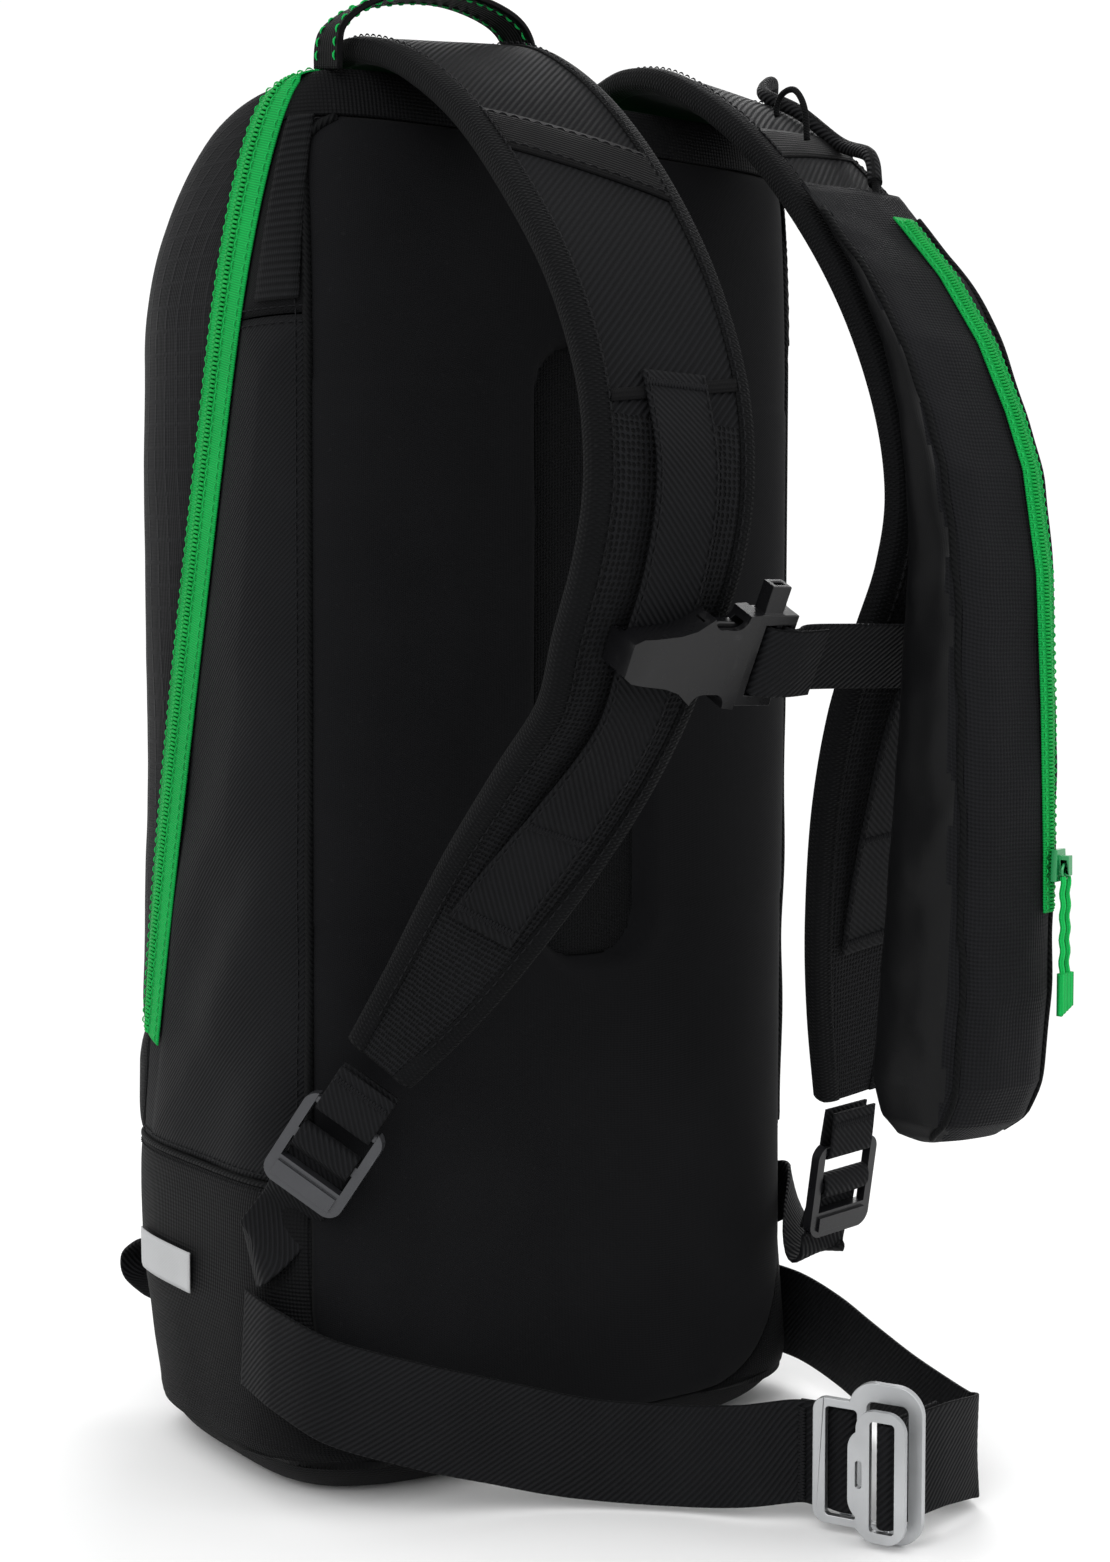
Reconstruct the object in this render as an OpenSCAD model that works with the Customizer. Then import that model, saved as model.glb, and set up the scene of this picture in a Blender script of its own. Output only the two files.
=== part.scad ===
// Avalanche airbag backpack, standing on its base with its harness towards -Y.
// Millimetres. +X is to the right as the harness is faced, +Z is up, and the
// origin is the middle of the base patch, on the ground.

/* [Bag] */
// Height of the bag without straps or haul loop
bag_h = 530; // [515:5:540]
// Width of the bag at mid height
bag_w = 250; // [244:2:256]
// Reach of the padded back from the origin, towards the wearer
back_y = 86; // [82:1:88]
// Reach of the bag's belly away from the wearer, at its fullest
front_y = 108; // [105:1:110]
// Thickness of the fabric walls with their lining
wall = 3; // [2:0.5:4]
// Thickness of the back foam
foam = 9; // [7:1:10]

/* [Harness] */
// Width of the shoulder straps at the chest
strap_w = 66; // [60:1:70]
// Thickness of the shoulder strap foam
strap_t = 10; // [8:1:11]
// Width of the webbing on straps and buckles
web_w = 25; // [24:0.5:25]
// Thickness of the webbing
web_t = 1.5; // [1.2:0.1:1.6]
// Width of the waist belt
belt_w = 38; // [36:1:38]

/* [Hidden] */

ring_n = 44;        // points round the bag
corner_back = 4.4;  // squareness of the bag's back corners
corner_front = 3.3; // squareness of its front corners
base_r = 24;        // rounding along the base
dome_z = 432;       // where the top starts to round over
top_y = -46;        // front edge of the flat ridge on top
top_half = 96;      // half the ridge's length
// Height against how much less the front reaches there than at its fullest
FRONT = [[0, 34], [24, 27], [70, 5], [125, 0], [200, 9], [290, 19], [440, 25]];
seam = 0.3;         // gap between sewn panels
eps = 0.01;

zip_y = 18;         // zip plane's reach at zip_z
zip_z = 290;
zip_slope = -0.27;  // how it leans back going up
zip_end_z = 163;    // lower end of the main zip
base_seam_z = 119;
gusset_z = 441;
cap_z = 517;

// Shoulder strap centrelines: x, y, z, half-width factor, then the width direction.
STRAP_TOP = [
    [[62, -52, 539], 1.06, [1, 0, -0.05]],
    [[61, -72, 539.5], 1.06, [1, 0, -0.09]],
    [[60, -100, 530.5], 1.04, [1, 0, -0.14]],
    [[60, -135, 508], 1.00, [1, 0.04, -0.14]],
    [[61, -168, 477], 1.00, [1, 0.06, -0.10]],
    [[62, -196, 442], 1.00, [1, 0.04, -0.04]],
    [[63, -214, 406], 1.00, [1, 0.02, 0]],
    [[64.5, -220, 374], 1.00, [1, 0, 0]],
    [[65, -215, 348], 1.00, [1, 0, 0]],
    [[65, -203, 324], 0.98, [1, 0, 0]],
    [[65, -189, 297], 0.94, [1, 0, 0]],
];
STRAP_END_LEFT = [
    [[71, -168, 267], 0.86, [1, 0.20, 0.15]],
    [[80, -144, 234], 0.74, [0.8, 0.35, 0.28]],
    [[90, -120, 200], 0.60, [0.7, 0.50, 0.42]],
    [[101, -98, 171], 0.44, [0.6, 0.58, 0.53]],
];
STRAP_END_RIGHT = [
    [[69, -173, 261], 0.86, [1, 0, 0]],
    [[77, -157, 220], 0.76, [1, 0, 0]],
    [[87, -142, 181], 0.62, [1, -0.05, 0]],
    [[97, -128, 144], 0.44, [1, -0.10, 0]],
];
strap_steps = 3;    // rings between neighbouring strap points

chest_y = -203;     // the chest strap's place on the strap centreline
chest_z = 324;
chest_tilt = 117.4; // turns +Z onto the strap's outward face

// ---------- vectors, splines and skins ----------
function unit(v) = v / norm(v);
function flip(p, side) = [side * p[0], p[1], p[2]];
function mix(a, b, t) = a + (b - a) * t;
function smooth(t) = let (u = min(1, max(0, t))) u * u * (3 - 2 * u);
function spow(v, e) = sign(v) * pow(abs(v), e);
function cat(a, b, c, d, t) =
    0.5 * (2 * b + (c - a) * t + (2 * a - 5 * b + 4 * c - d) * t * t + (3 * b - a - 3 * c + d) * t * t * t);
function spline(p, n) = let (e = len(p) - 1) [
    for (i = [0 : e - 1]) for (k = [0 : n - 1])
        cat(p[max(0, i - 1)], p[i], p[i + 1], p[min(e, i + 2)], k / n),
    p[e],
];
function tangent(p, i) = unit(p[min(len(p) - 1, i + 1)] - p[max(0, i - 1)]);
function across(t, w) = unit(w - (w * t) * t);

// A closed skin through rings of equal length, capped at both ends.
module skin(rings) {
    m = len(rings[0]);
    n = len(rings);
    points = [for (r = rings) each r];
    sides = [
        for (i = [0 : n - 2]) for (j = [0 : m - 1]) let (k = (j + 1) % m)
            each [[i * m + j, (i + 1) * m + k, i * m + k], [i * m + j, (i + 1) * m + j, (i + 1) * m + k]],
    ];
    caps = [[for (j = [0 : m - 1]) j], [for (j = [m - 1 : -1 : 0]) (n - 1) * m + j]];
    polyhedron(points, concat(sides, caps));
}

// A flat band swept along points, with a half width and a width direction at each,
// between two heights above the centre surface.
module band(pts, half, dirs, low, high, chamfer = 0) {
    rings = [
        for (i = [0 : len(pts) - 1]) let (
            t = tangent(pts, i), w = across(t, dirs[i]), n = cross(t, w), h = half[i], c = chamfer
        ) c == 0
            ? [for (q = [[h, low], [h, high], [-h, high], [-h, low]]) pts[i] + q[0] * w + q[1] * n]
            : [for (q = [
                    [h - c, low], [h, low + c], [h, high - c], [h - c, high],
                    [c - h, high], [-h, high - c], [-h, low + c], [c - h, low],
                ]) pts[i] + q[0] * w + q[1] * n],
    ];
    skin(rings);
}
module plain_band(points, width, dir, thickness, steps = 4) {
    pts = spline(points, steps);
    band(pts, [for (p = pts) width / 2], [for (p = pts) dir], -thickness / 2, thickness / 2);
}
module tube(points, r, steps = 3, sides = 8) {
    pts = spline(points, steps);
    skin([
        for (i = [0 : len(pts) - 1]) let (
            t = tangent(pts, i), w = across(t, abs(t[0]) > 0.8 ? [0, 1, 0] : [1, 0, 0]), n = cross(t, w)
        ) [for (k = [0 : sides - 1]) pts[i] + r * (cos(360 * k / sides) * w + sin(360 * k / sides) * n)],
    ]);
}

// Keeps a panel cut from the bag as one mesh.
module one_mesh() { minkowski() children(); }

// ---------- the bag's form ----------
function front_at(z) = front_y - lookup(z, FRONT);
// Stations up the bag, t in from its skin: height, half width, back and front.
function stations(t) = let (a = bag_w / 2) [
    for (f = [-90 : 22.5 : -22.5]) let (g = (base_r - t) * cos(f))
        [t + (base_r - t) * (1 + sin(f)), a - base_r + g, base_r - back_y - g, front_at(base_r) - base_r + g],
    for (z = [base_r, 46, 70, 97, 125, 162, 200, 245, 290, 340, 386, dome_z]) [z, a - t, t - back_y, front_at(z) - t],
    for (f = [11.25 : 11.25 : 90]) [
        dome_z + (bag_h - dome_z - t) * sin(f),
        top_half + (a - top_half - t) * sqrt(max(0, cos(f))),
        t - back_y + 12 * (1 - cos(f)),
        top_y + (front_at(dome_z) - top_y - t) * cos(f),
    ],
];
function bag_ring(s) = let (c = (s[2] + s[3]) / 2, b = (s[3] - s[2]) / 2) [
    for (j = [0 : ring_n - 1]) let (q = 360 * j / ring_n, e = 2 / (sin(q) > 0 ? corner_front : corner_back))
        [s[1] * spow(cos(q), e), c + b * spow(sin(q), e), s[0]],
];
module bag(t) { skin([for (s = stations(t)) bag_ring(s)]); }
module bag_wall(outer, inner) {
    difference() {
        bag(outer);
        bag(inner);
    }
}

// Extrudes a Y-Z outline right across the bag, and an X-Z outline from y0 to y1.
module through_x(x0 = -200, x1 = 200) { translate([x0, 0, 0]) rotate([90, 0, 90]) linear_extrude(x1 - x0) children(); }
module through_y(y0, y1) { translate([0, y1, 0]) rotate([90, 0, 0]) linear_extrude(y1 - y0) children(); }

// The zip's plane: everything in front of it, moved forward by d.
function zip_at(z) = zip_y + zip_slope * (z - zip_z);
module front_of_zip(d) {
    through_x() polygon([[zip_at(-20) + d, -20], [200, -20], [200, 640], [zip_at(640) + d, 640]]);
}
module behind_zip(d) {
    through_x() polygon([[-200, -20], [zip_at(-20) - d, -20], [zip_at(640) - d, 640], [-200, 640]]);
}
module above(z) { translate([-200, -200, z]) cube([400, 400, 640 - z]); }
module below(z) { translate([-200, -200, -20]) cube([400, 400, z + 20]); }
module left_half() { translate([-200, -200, -20]) cube([200, 400, 660]); }
module right_half() { translate([0, -200, -20]) cube([200, 400, 660]); }

// Outline of the padded back, grown by d: rounded lower corners, square top.
back_half = 113;
back_top = 512;
back_bottom = 16;
back_corner = 58;
module back_outline(d = 0) {
    hull() {
        for (s = [-1, 1]) {
            translate([s * (back_half - back_corner), back_bottom + back_corner]) circle(back_corner + d, $fn = 48);
            translate([s * (back_half - 14), back_top - 14]) circle(14 + d, $fn = 32);
        }
    }
}
module back_zone(d = 0) { through_y(-140, -36) back_outline(d); }

channel_low = 199;
channel_high = 436;
channel_half = 25;
module channel_outline(d = 0) {
    hull() for (s = [-1, 1], z = [channel_low + 20, channel_high - 20])
        translate([s * (channel_half - 20), z]) circle(20 + d, $fn = 32);
}

// ---------- bag panels ----------
module back_panel() {
    color("#17181b") one_mesh() difference() {
        intersection() {
            bag_wall(0, foam);
            back_zone();
        }
        through_y(-140, -back_y + foam / 2) channel_outline(seam);
    }
}
module spine_channel() {
    color("#1f2023") one_mesh() intersection() {
        bag_wall(2, foam / 2 - seam);
        through_y(-140, -40) channel_outline();
    }
}
module bag_shell(d = seam) {
    difference() {
        bag_wall(0, wall);
        back_zone(d);
    }
}
module side_panel(side) {
    color("#1d1e22") one_mesh() intersection() {
        bag_shell();
        behind_zip(seam);
        above(base_seam_z + seam);
        below(gusset_z - seam);
        if (side < 0) left_half(); else right_half();
    }
}
module side_panel_left() { side_panel(-1); }
module side_panel_right() { side_panel(1); }
module upper_gusset(side) {
    color("#141518") one_mesh() intersection() {
        bag_shell();
        behind_zip(seam);
        above(gusset_z);
        below(cap_z - seam);
        if (side < 0) left_half(); else right_half();
    }
}
module upper_gusset_left() { upper_gusset(-1); }
module upper_gusset_right() { upper_gusset(1); }

// Ribbed elastic tape over the gusset, along the edge of the back.
module ribbed_tape(side) {
    color("#26272a") one_mesh() intersection() {
        bag_wall(-1.7, -0.3);
        through_x() polygon([[-66, gusset_z + 4], [-48, gusset_z + 4], [-60, cap_z - 4], [-67, cap_z - 4]]);
        translate([side > 0 ? 60 : -200, -200, 0]) cube([140, 400, 600]);
    }
}
module ribbed_tape_left() { ribbed_tape(-1); }
module ribbed_tape_right() { ribbed_tape(1); }
module base_wrap() {
    color("#1a1b1e") one_mesh() intersection() {
        difference() {
            translate([0, 0, 1.2]) bag_wall(0, wall);
            back_zone(seam);
        }
        below(base_seam_z);
    }
}
base_patch_size = [190, 104, 1];
module base_patch() {
    color("#101113") translate([0, -6, 0]) linear_extrude(base_patch_size[2]) rounded_patch();
}
module rounded_patch() {
    r = 14;
    w = base_patch_size[0];
    d = base_patch_size[1];
    square([w - 2 * r, d], center = true);
    square([w, d - 2 * r], center = true);
    for (sx = [-1, 1], sy = [-1, 1]) translate([sx * (w / 2 - r), sy * (d / 2 - r)]) circle(r, $fn = 48);
}
module front_hinge_panel() {
    color("#1a1b1e") one_mesh() intersection() {
        bag_shell();
        front_of_zip(0);
        above(base_seam_z + seam);
        below(zip_end_z);
    }
}
module top_panel() {
    color("#1a1b1e") one_mesh() intersection() {
        difference() {
            bag_shell();
            cable(cable_r + 0.8);
        }
        behind_zip(seam);
        above(cap_z);
    }
}
module front_panel() {
    color("#1b1c1f") one_mesh() intersection() {
        bag_wall(0, wall);
        front_of_zip(seam);
        above(zip_end_z + seam);
    }
}
module reflective_patch() {
    color("#c9cccc") one_mesh() intersection() {
        bag_wall(-0.6, -0.2);
        through_x(-200, 0) polygon([[2, 66], [54, 66], [54, 84], [2, 84]]);
    }
}
module ski_loops() {
    color("#111214") for (s = [-1, 1])
        plain_band([[s * 96, 89, 67], [s * 99, 96, 65], [s * 101, 105, 58], [s * 101.5, 103, 50],
            [s * 99, 92, 45], [s * 96, 82.5, 43]], 20, [1, 0, 0], 1.4, 3);
}

// ---------- main zip ----------
tape_body = 15;
tape_door = 8;
module main_zip_body_tape() {
    color("#17a34a") one_mesh() intersection() {
        bag_wall(-1.5, -0.3);
        difference() {
            behind_zip(0.3);
            behind_zip(tape_body);
        }
        above(zip_end_z);
    }
}
module main_zip_door_tape() {
    color("#17a34a") one_mesh() intersection() {
        bag_wall(-1.5, -0.3);
        difference() {
            front_of_zip(0.3);
            front_of_zip(tape_door);
        }
        above(zip_end_z);
    }
}
// Zip slider lying flat: its length runs along +Y, its crown up +Z.
slider_len = 11;
module zip_slider_body() {
    difference() {
        union() {
            linear_extrude(2.2) polygon([[-4.2, 0], [4.2, 0], [3.2, slider_len], [-3.2, slider_len]]);
            translate([-1.4, 2, 2.2]) cube([2.8, 7, 3.4]);
        }
        translate([-5, 4.2, 2.7]) cube([10, 3, 2]);
    }
}
// Where the main slider sits: on the right side at the zip's lower end.
main_slider_at = [bag_w / 2 + 1.4, zip_at(zip_end_z + 15), zip_end_z + 15];
zip_lean = atan(zip_slope);
module main_zip_slider() {
    color("#0f8a3c") translate(main_slider_at) rotate([-zip_lean, 0, 0]) rotate([90, 0, 90]) zip_slider_body();
}
module main_zip_pull() {
    color("#22c55e") translate(main_slider_at) rotate([-zip_lean, 0, 0]) rotate([90, 0, 90])
        translate([0, 5.7, 3.7]) pull_tab(30);
}
// A pull hanging from its eye at the origin towards -Y.
module pull_tab(length) {
    rotate([0, 90, 0]) cylinder(r = 0.7, h = 5, center = true, $fn = 24);
    for (s = [-1, 1]) translate([s * 2.5 - 0.7, -length, -0.7]) cube([1.4, length + 0.7, 1.4]);
    translate([-4.5, -length - 6, -1]) cube([9, 10, 2]);
}

// ---------- haul loop and trim ----------
haul_y = -66;
module haul_loop() {
    color("#141517") plain_band([[-20.5, haul_y, 533.8], [-20.5, haul_y - 3, 546], [-32, haul_y - 7, 556], [-58, haul_y - 9, 560],
        [-86, haul_y - 7, 555], [-102, haul_y - 3, 544], [-103, haul_y, 534]], 18, [0, -1, 0], 2.2, 3);
}

// ---------- shoulder straps ----------
function strap_data(side) = concat(STRAP_TOP, side < 0 ? STRAP_END_LEFT : STRAP_END_RIGHT);
function strap_points(side) = [for (p = spline([for (d = strap_data(side)) d[0]], strap_steps)) flip(p, side)];
function strap_halves(side) = [
    for (h = spline([for (d = strap_data(side)) [d[1]]], strap_steps)) h[0] * strap_w / 2
];
// The width direction always points to +X, so the normal points out from the chest.
function strap_dirs(side) = [
    for (w = spline([for (d = strap_data(side)) d[2]], strap_steps)) side > 0 ? w : [w[0], -w[1], -w[2]]
];
module strap(side) {
    color("#1c1d20") band(strap_points(side), strap_halves(side), strap_dirs(side), -strap_t / 2, strap_t / 2, 2.5);
}
module shoulder_strap_left() { strap(-1); }
module shoulder_strap_right() { strap(1); }

function slice(list, from, to) = [for (i = [from : to]) list[i]];
rail_from = [18, 24];
rail_to = 37;
rail_lift = 3.4;
// Height of the rail above the strap's face: sewn down at its ends, free between.
function rail_gap(i, from) = 0.3 + rail_lift * smooth((i - from) / 3) * smooth((rail_to - i) / 5);
module rail(side) {
    pts = strap_points(side);
    dirs = strap_dirs(side);
    from = rail_from[side > 0 ? 1 : 0];
    base = [
        for (i = [from : rail_to]) let (t = tangent(pts, i), n = cross(t, across(t, dirs[i])))
            pts[i] + (strap_t / 2 + rail_gap(i, from)) * n
    ];
    color("#222326") band(base, [for (p = base) web_w / 2], slice(dirs, from, rail_to), 0, web_t);
}
module rail_webbing_left() { rail(-1); }
module rail_webbing_right() { rail(1); }
module lifter_band_left() {
    pts = strap_points(-1);
    dirs = strap_dirs(-1);
    color("#0e0f10") band(slice(pts, 11, 13), [for (i = [11 : 13]) strap_w / 2 - 4], slice(dirs, 11, 13),
        strap_t / 2 + 0.8, strap_t / 2 + 2);
}
module key_loop() {
    color("#0e0f10") tube([[58, -128, 521.6], [57, -128, 527], [57, -132, 533], [57, -140, 533], [57, -145, 525],
        [58, -145, 510]], 1.2, 3, 8);
}

// ---------- ladder locks and adjusters ----------
lock_w = 34;
lock_l = 40;
lock_t = 4;
bar_at = 9;      // first bar's centre from the pivot, which is the upper bar
wide_bar_at = 27; // the wide lower bar's centre
// The upper bar lies along X through the origin; the frame runs towards -Y and faces +Z.
module ladder_lock() {
    r = 6;
    difference() {
        translate([0, -lock_l / 2 + 3, -lock_t / 2]) linear_extrude(lock_t) union() {
            square([lock_w - 2 * r, lock_l], center = true);
            square([lock_w, lock_l - 2 * r], center = true);
            for (sx = [-1, 1], sy = [-1, 1]) translate([sx * (lock_w / 2 - r), sy * (lock_l / 2 - r)])
                circle(r, $fn = 32);
        }
        translate([-13.2, -13, -lock_t]) cube([26.4, 17, 2 * lock_t]);
        translate([-13.2, -26, -lock_t]) cube([26.4, 9, 2 * lock_t]);
    }
    rotate([0, 90, 0]) cylinder(r = 1.8, h = 26.6, center = true, $fn = 32);
    translate([0, -31, lock_t / 2 - 0.5]) linear_extrude(1.6) square([26, 6], center = true);
}
// Puts a lock on the end of a strap: pivot place, width direction and run direction.
module at_frame(place, width, run) {
    d = unit(run);
    w = across(d, width);
    n = cross(w, -d);
    multmatrix([[w[0], -d[0], n[0], place[0]], [w[1], -d[1], n[1], place[1]], [w[2], -d[2], n[2], place[2]]])
        children();
}
lock_left_at = [-110, -88.5, 149];
lock_left_w = [0.607, -0.587, -0.536];
lock_left_run = [-0.29, 0.50, -0.82];
lock_right_at = [102, -121.5, 119];
lock_right_w = [1, 0.10, 0];
lock_right_run = [0.04, 0.22, -1];
module ladder_lock_left() { color("#55575c") at_frame(lock_left_at, lock_left_w, lock_left_run) ladder_lock(); }
module ladder_lock_right() { color("#1c1d20") at_frame(lock_right_at, lock_right_w, lock_right_run) ladder_lock(); }

// A short webbing loop round the lock's upper bar, sewn to the strap's end.
module buckle_loop(reach) {
    color("#17181b") difference() {
        union() {
            rotate([0, 90, 0]) cylinder(r = 3.6, h = 24, center = true, $fn = 32);
            translate([-12, 0, -3.6]) cube([24, reach, 7.2]);
        }
        rotate([0, 90, 0]) cylinder(r = 1.88, h = 30, center = true, $fn = 32);
    }
}
loop_reach = 17;
module buckle_loop_left() { at_frame(lock_left_at, lock_left_w, lock_left_run) buckle_loop(loop_reach); }
module buckle_loop_right() { at_frame(lock_right_at, lock_right_w, lock_right_run) buckle_loop(loop_reach); }
// Webbing that turns from lying on the bag's side to facing its lock.
module turning_band(points, dirs, width, steps) {
    pts = spline(points, steps);
    band(pts, [for (p = pts) width / 2], spline(dirs, steps), -web_t / 2, web_t / 2);
}
module adjuster_webbing_left() {
    color("#1d1e21") turning_band(
        [[-126.4, -44, 92], [-127.4, -52, 96], [-127.6, -58, 100], [-126.4, -63, 104]],
        [[0, -0.56, -0.83], [0.1, -0.56, -0.82], [0.3, -0.57, -0.76], [0.45, -0.58, -0.68]], web_w, 4
    );
}
module adjuster_webbing_right() {
    color("#141517") turning_band(
        [[127, -42, 80], [127.4, -60, 85], [125, -78, 92], [118, -93, 96], [110, -103, 95]],
        [[0, -0.3, -0.95], [0.08, -0.25, -0.95], [0.3, -0.1, -0.93], [0.45, 0.05, -0.9], [0.5, 0.1, -0.9]], web_w, 4
    );
}

// ---------- chest strap ----------
// Local frame on the straps' faces: X across, Y up along the strap, Z outwards.
module on_chest() { translate([0, chest_y, chest_z]) rotate([chest_tilt, 0, 0]) children(); }
rail_x = 65;
face_z = 5;
clip_back = [face_z + 0.5, face_z + 2.9];
body_z = [face_z + 5.7, face_z + 15.7];
module rail_hook(side, inner_x) {
    // a flat tongue behind the rail, joined to the front part round the rail's outer edge
    outer = side * (rail_x + web_w / 2 + 1);
    lo = min(outer, inner_x);
    hi = max(outer, inner_x);
    translate([lo, -6, clip_back[0]]) cube([hi - lo, 12, clip_back[1] - clip_back[0]]);
    translate([side > 0 ? outer : outer - 2.6, -6, clip_back[0]]) cube([2.6, 12, body_z[0] + 2 - clip_back[0]]);
}
clip_end = -33;
module chest_clip() {
    color("#141518") on_chest() {
        rail_hook(-1, -50);
        difference() {
            translate([0, 0, body_z[0]]) linear_extrude(body_z[1] - body_z[0]) polygon([
                [-81.1, -6], [-81.1, 6], [-78, 8], [-64, 9.6], [-58, 11.5], [-52, 16], [clip_end, 17.5],
                [clip_end, -17.5], [-52, -16], [-58, -11.5], [-64, -9.6], [-78, -8],
            ]);
            translate([-84, -20, body_z[1] - 4.5]) rotate([0, -8, 0]) translate([-10, 0, 3]) cube([30, 40, 10]);
            translate([-60, -8.2, body_z[0] + 2.4]) cube([10, 16.4, 5.2]);
            translate([-55, -14.2, body_z[0] + 2.4]) cube([40, 28.4, 5.2]);
            for (s = [-1, 1]) translate([-45, s * 16.5, body_z[0] - 1]) linear_extrude(14) thumb_window();
        }
    }
}
module thumb_window() {
    translate([-2.5, 0]) circle(4.6, $fn = 32);
    translate([2.5, 0]) circle(4.6, $fn = 32);
    translate([-2.5, -4.6]) square([5, 9.2]);
}
prong_root = [clip_end - 0.2, 9.6];
prong_z = [body_z[0] + 2.9, body_z[0] + 7.1];
// A springy arm with its thumb pad, in the upper half of the buckle.
module prong() {
    translate([prong_root[0], 0, prong_z[0]]) linear_extrude(prong_z[1] - prong_z[0]) polygon([
        [0, 8.2], [0, 11], [-6, 11.6], [-8, 13.6], [-15, 13.8], [-20, 11], [-21, 8.8], [-17, 8.6],
    ]);
}
module chest_prong_upper() { color("#0f1012") on_chest() prong(); }
module chest_prong_lower() { color("#0f1012") on_chest() mirror([0, 1, 0]) prong(); }
male_x = [clip_end + seam, clip_end + 17];
module chest_buckle_male() {
    z0 = body_z[0] + 1;
    color("#141518") on_chest() translate([male_x[0], 0, z0]) difference() {
        union() {
            translate([0, -17, 0]) cube([male_x[1] - male_x[0], 34, 7.6]);
            translate([-22, -1.6, 1.9]) cube([24, 3.2, 4.2]);
            translate([2, 16, 0.8]) cube([8, 11, 6]);
        }
        translate([4, -13, -1]) cube([4.4, 26, 10]);
        translate([10.8, -13, -1]) cube([3.6, 26, 10]);
        translate([4, 20, 2.6]) cube([4, 9, 2.4]);
    }
}
chest_web_z = body_z[0] + 4.6;
module chest_webbing() {
    color("#17181b") on_chest() translate([0, 0, chest_web_z]) {
        translate([male_x[1] + 0.4, -web_w / 2, 0]) cube([69 - male_x[1], web_w, web_t]);
    }
}
module chest_anchor() {
    color("#17181b") on_chest() {
        rail_hook(1, 50);
        translate([50, -8, body_z[0]]) cube([31.1, 16, 2]);
    }
}

// ---------- strap pocket ----------
pocket_x = 50;
pocket_half = 26;
pocket_n = 28;
// Height, back, front, share of the half width
POCKET = [
    [146, -223, -232, 0.34], [149, -218, -246, 0.66], [156, -213, -256, 0.88], [170, -210, -262, 1],
    [200, -213, -265, 1], [250, -218, -265, 1], [300, -223.5, -264, 1], [345, -227.5, -262, 1],
    [380, -227.5, -256, 1], [400, -224.5, -248, 1], [425, -216.5, -235, 0.98], [450, -203, -216.5, 0.95],
    [470, -187.5, -197, 0.93], [485, -175, -181, 0.9],
];
function pocket_ring(p, dz, t) = let (
    c = (p[1] + p[2]) / 2, b = (p[1] - p[2]) / 2 - min(t, (p[1] - p[2]) / 2 - 1), a = pocket_half * p[3] - t
) [
    for (j = [0 : pocket_n - 1]) let (q = 360 * j / pocket_n)
        [pocket_x + a * spow(cos(q), 2 / 3), c + b * spow(sin(q), 2 / 3), p[0] + dz]
];
module pocket_form(t) {
    last = len(POCKET) - 1;
    skin([for (k = [0 : last]) pocket_ring(POCKET[k], k == 0 ? t : k == last ? -t : 0, t)]);
}
cable_x = 62;
module strap_pocket() {
    color("#191a1d") one_mesh() difference() {
        pocket_form(0);
        pocket_form(2);
        cable(cable_r + 0.8);
    }
}
// The pocket's zip runs down its front, near its outer edge.
pocket_zip_low = 228;
pocket_zip_high = 474;
function pocket_zip_x(z) = 61.5 + (pocket_zip_high - z) * 0.024;
pocket_tape = 10;
module pocket_zip_tape() {
    color("#17a34a") one_mesh() intersection() {
        difference() {
            pocket_form(-1.5);
            pocket_form(-0.3);
        }
        through_y(-300, -180) polygon([for (q = [
            [-1, pocket_zip_low], [1, pocket_zip_low], [1, pocket_zip_high], [-1, pocket_zip_high],
        ]) [pocket_zip_x(q[1]) + q[0] * pocket_tape / 2, q[1]]]);
        through_x(0, 120) polygon(concat(
            [for (p = POCKET) [(p[1] + p[2]) / 2, p[0]]],
            [[-320, 485], [-320, 146]]
        ));
    }
}
pocket_slider_z = 240;
pocket_slider_turn = 17;
module at_pocket_slider() {
    translate([pocket_zip_x(pocket_slider_z), -265.6, pocket_slider_z]) rotate([0, -1.4, pocket_slider_turn])
        children();
}
module pocket_zip_slider() {
    color("#0f8a3c") at_pocket_slider() rotate([90, 0, 0]) zip_slider_body();
}
module pocket_zip_pull() {
    color("#22c55e") at_pocket_slider() rotate([90, 0, 0]) translate([0, 5.7, 3.7]) pull_tab(46);
}

// ---------- waist belt ----------
buckle_at = [24, -192, 27];
buckle_turn = -64;
module on_buckle() { translate(buckle_at) rotate([0, 0, buckle_turn]) children(); }
// A point given along the buckle and behind it, in the ground frame.
function from_buckle(p, dz = 0) = [
    buckle_at[0] + p[0] * cos(buckle_turn) - p[1] * sin(buckle_turn),
    buckle_at[1] + p[0] * sin(buckle_turn) + p[1] * cos(buckle_turn),
    buckle_at[2] + dz,
];
// Upright webbing along points, its width vertical.
module upright(points, steps) {
    pts = spline(points, steps);
    band(pts, [for (p = pts) belt_w / 2], [for (p = pts) [0, 0, 1]], -web_t / 2, web_t / 2);
}
belt_root_left = [-127.2, -40, 60];
belt_root_right = [127.2, -40, 32];
module belt_left() {
    route = [
        belt_root_left, [-127.2, -64, 57], [-118, -90, 50], [-92, -107, 41], [-62, -117, 31.5], [-35, -129, 24],
        [-9, -150, 22], [8, -170, 24],
    ];
    fold = [
        [-8, 2.6], [0, 3.0], [4, 3.0], [7, 1.9], [10, 1.0], [13, 1.0], [15, 1.5], [15.7, 3.3], [15, 5.3],
        [13, 5.9], [7, 5.8], [0, 5.4], [-7, 4.9],
    ];
    color("#1c1d1f") upright(concat(route, [for (p = fold) from_buckle(p)]), 3);
}
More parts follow.
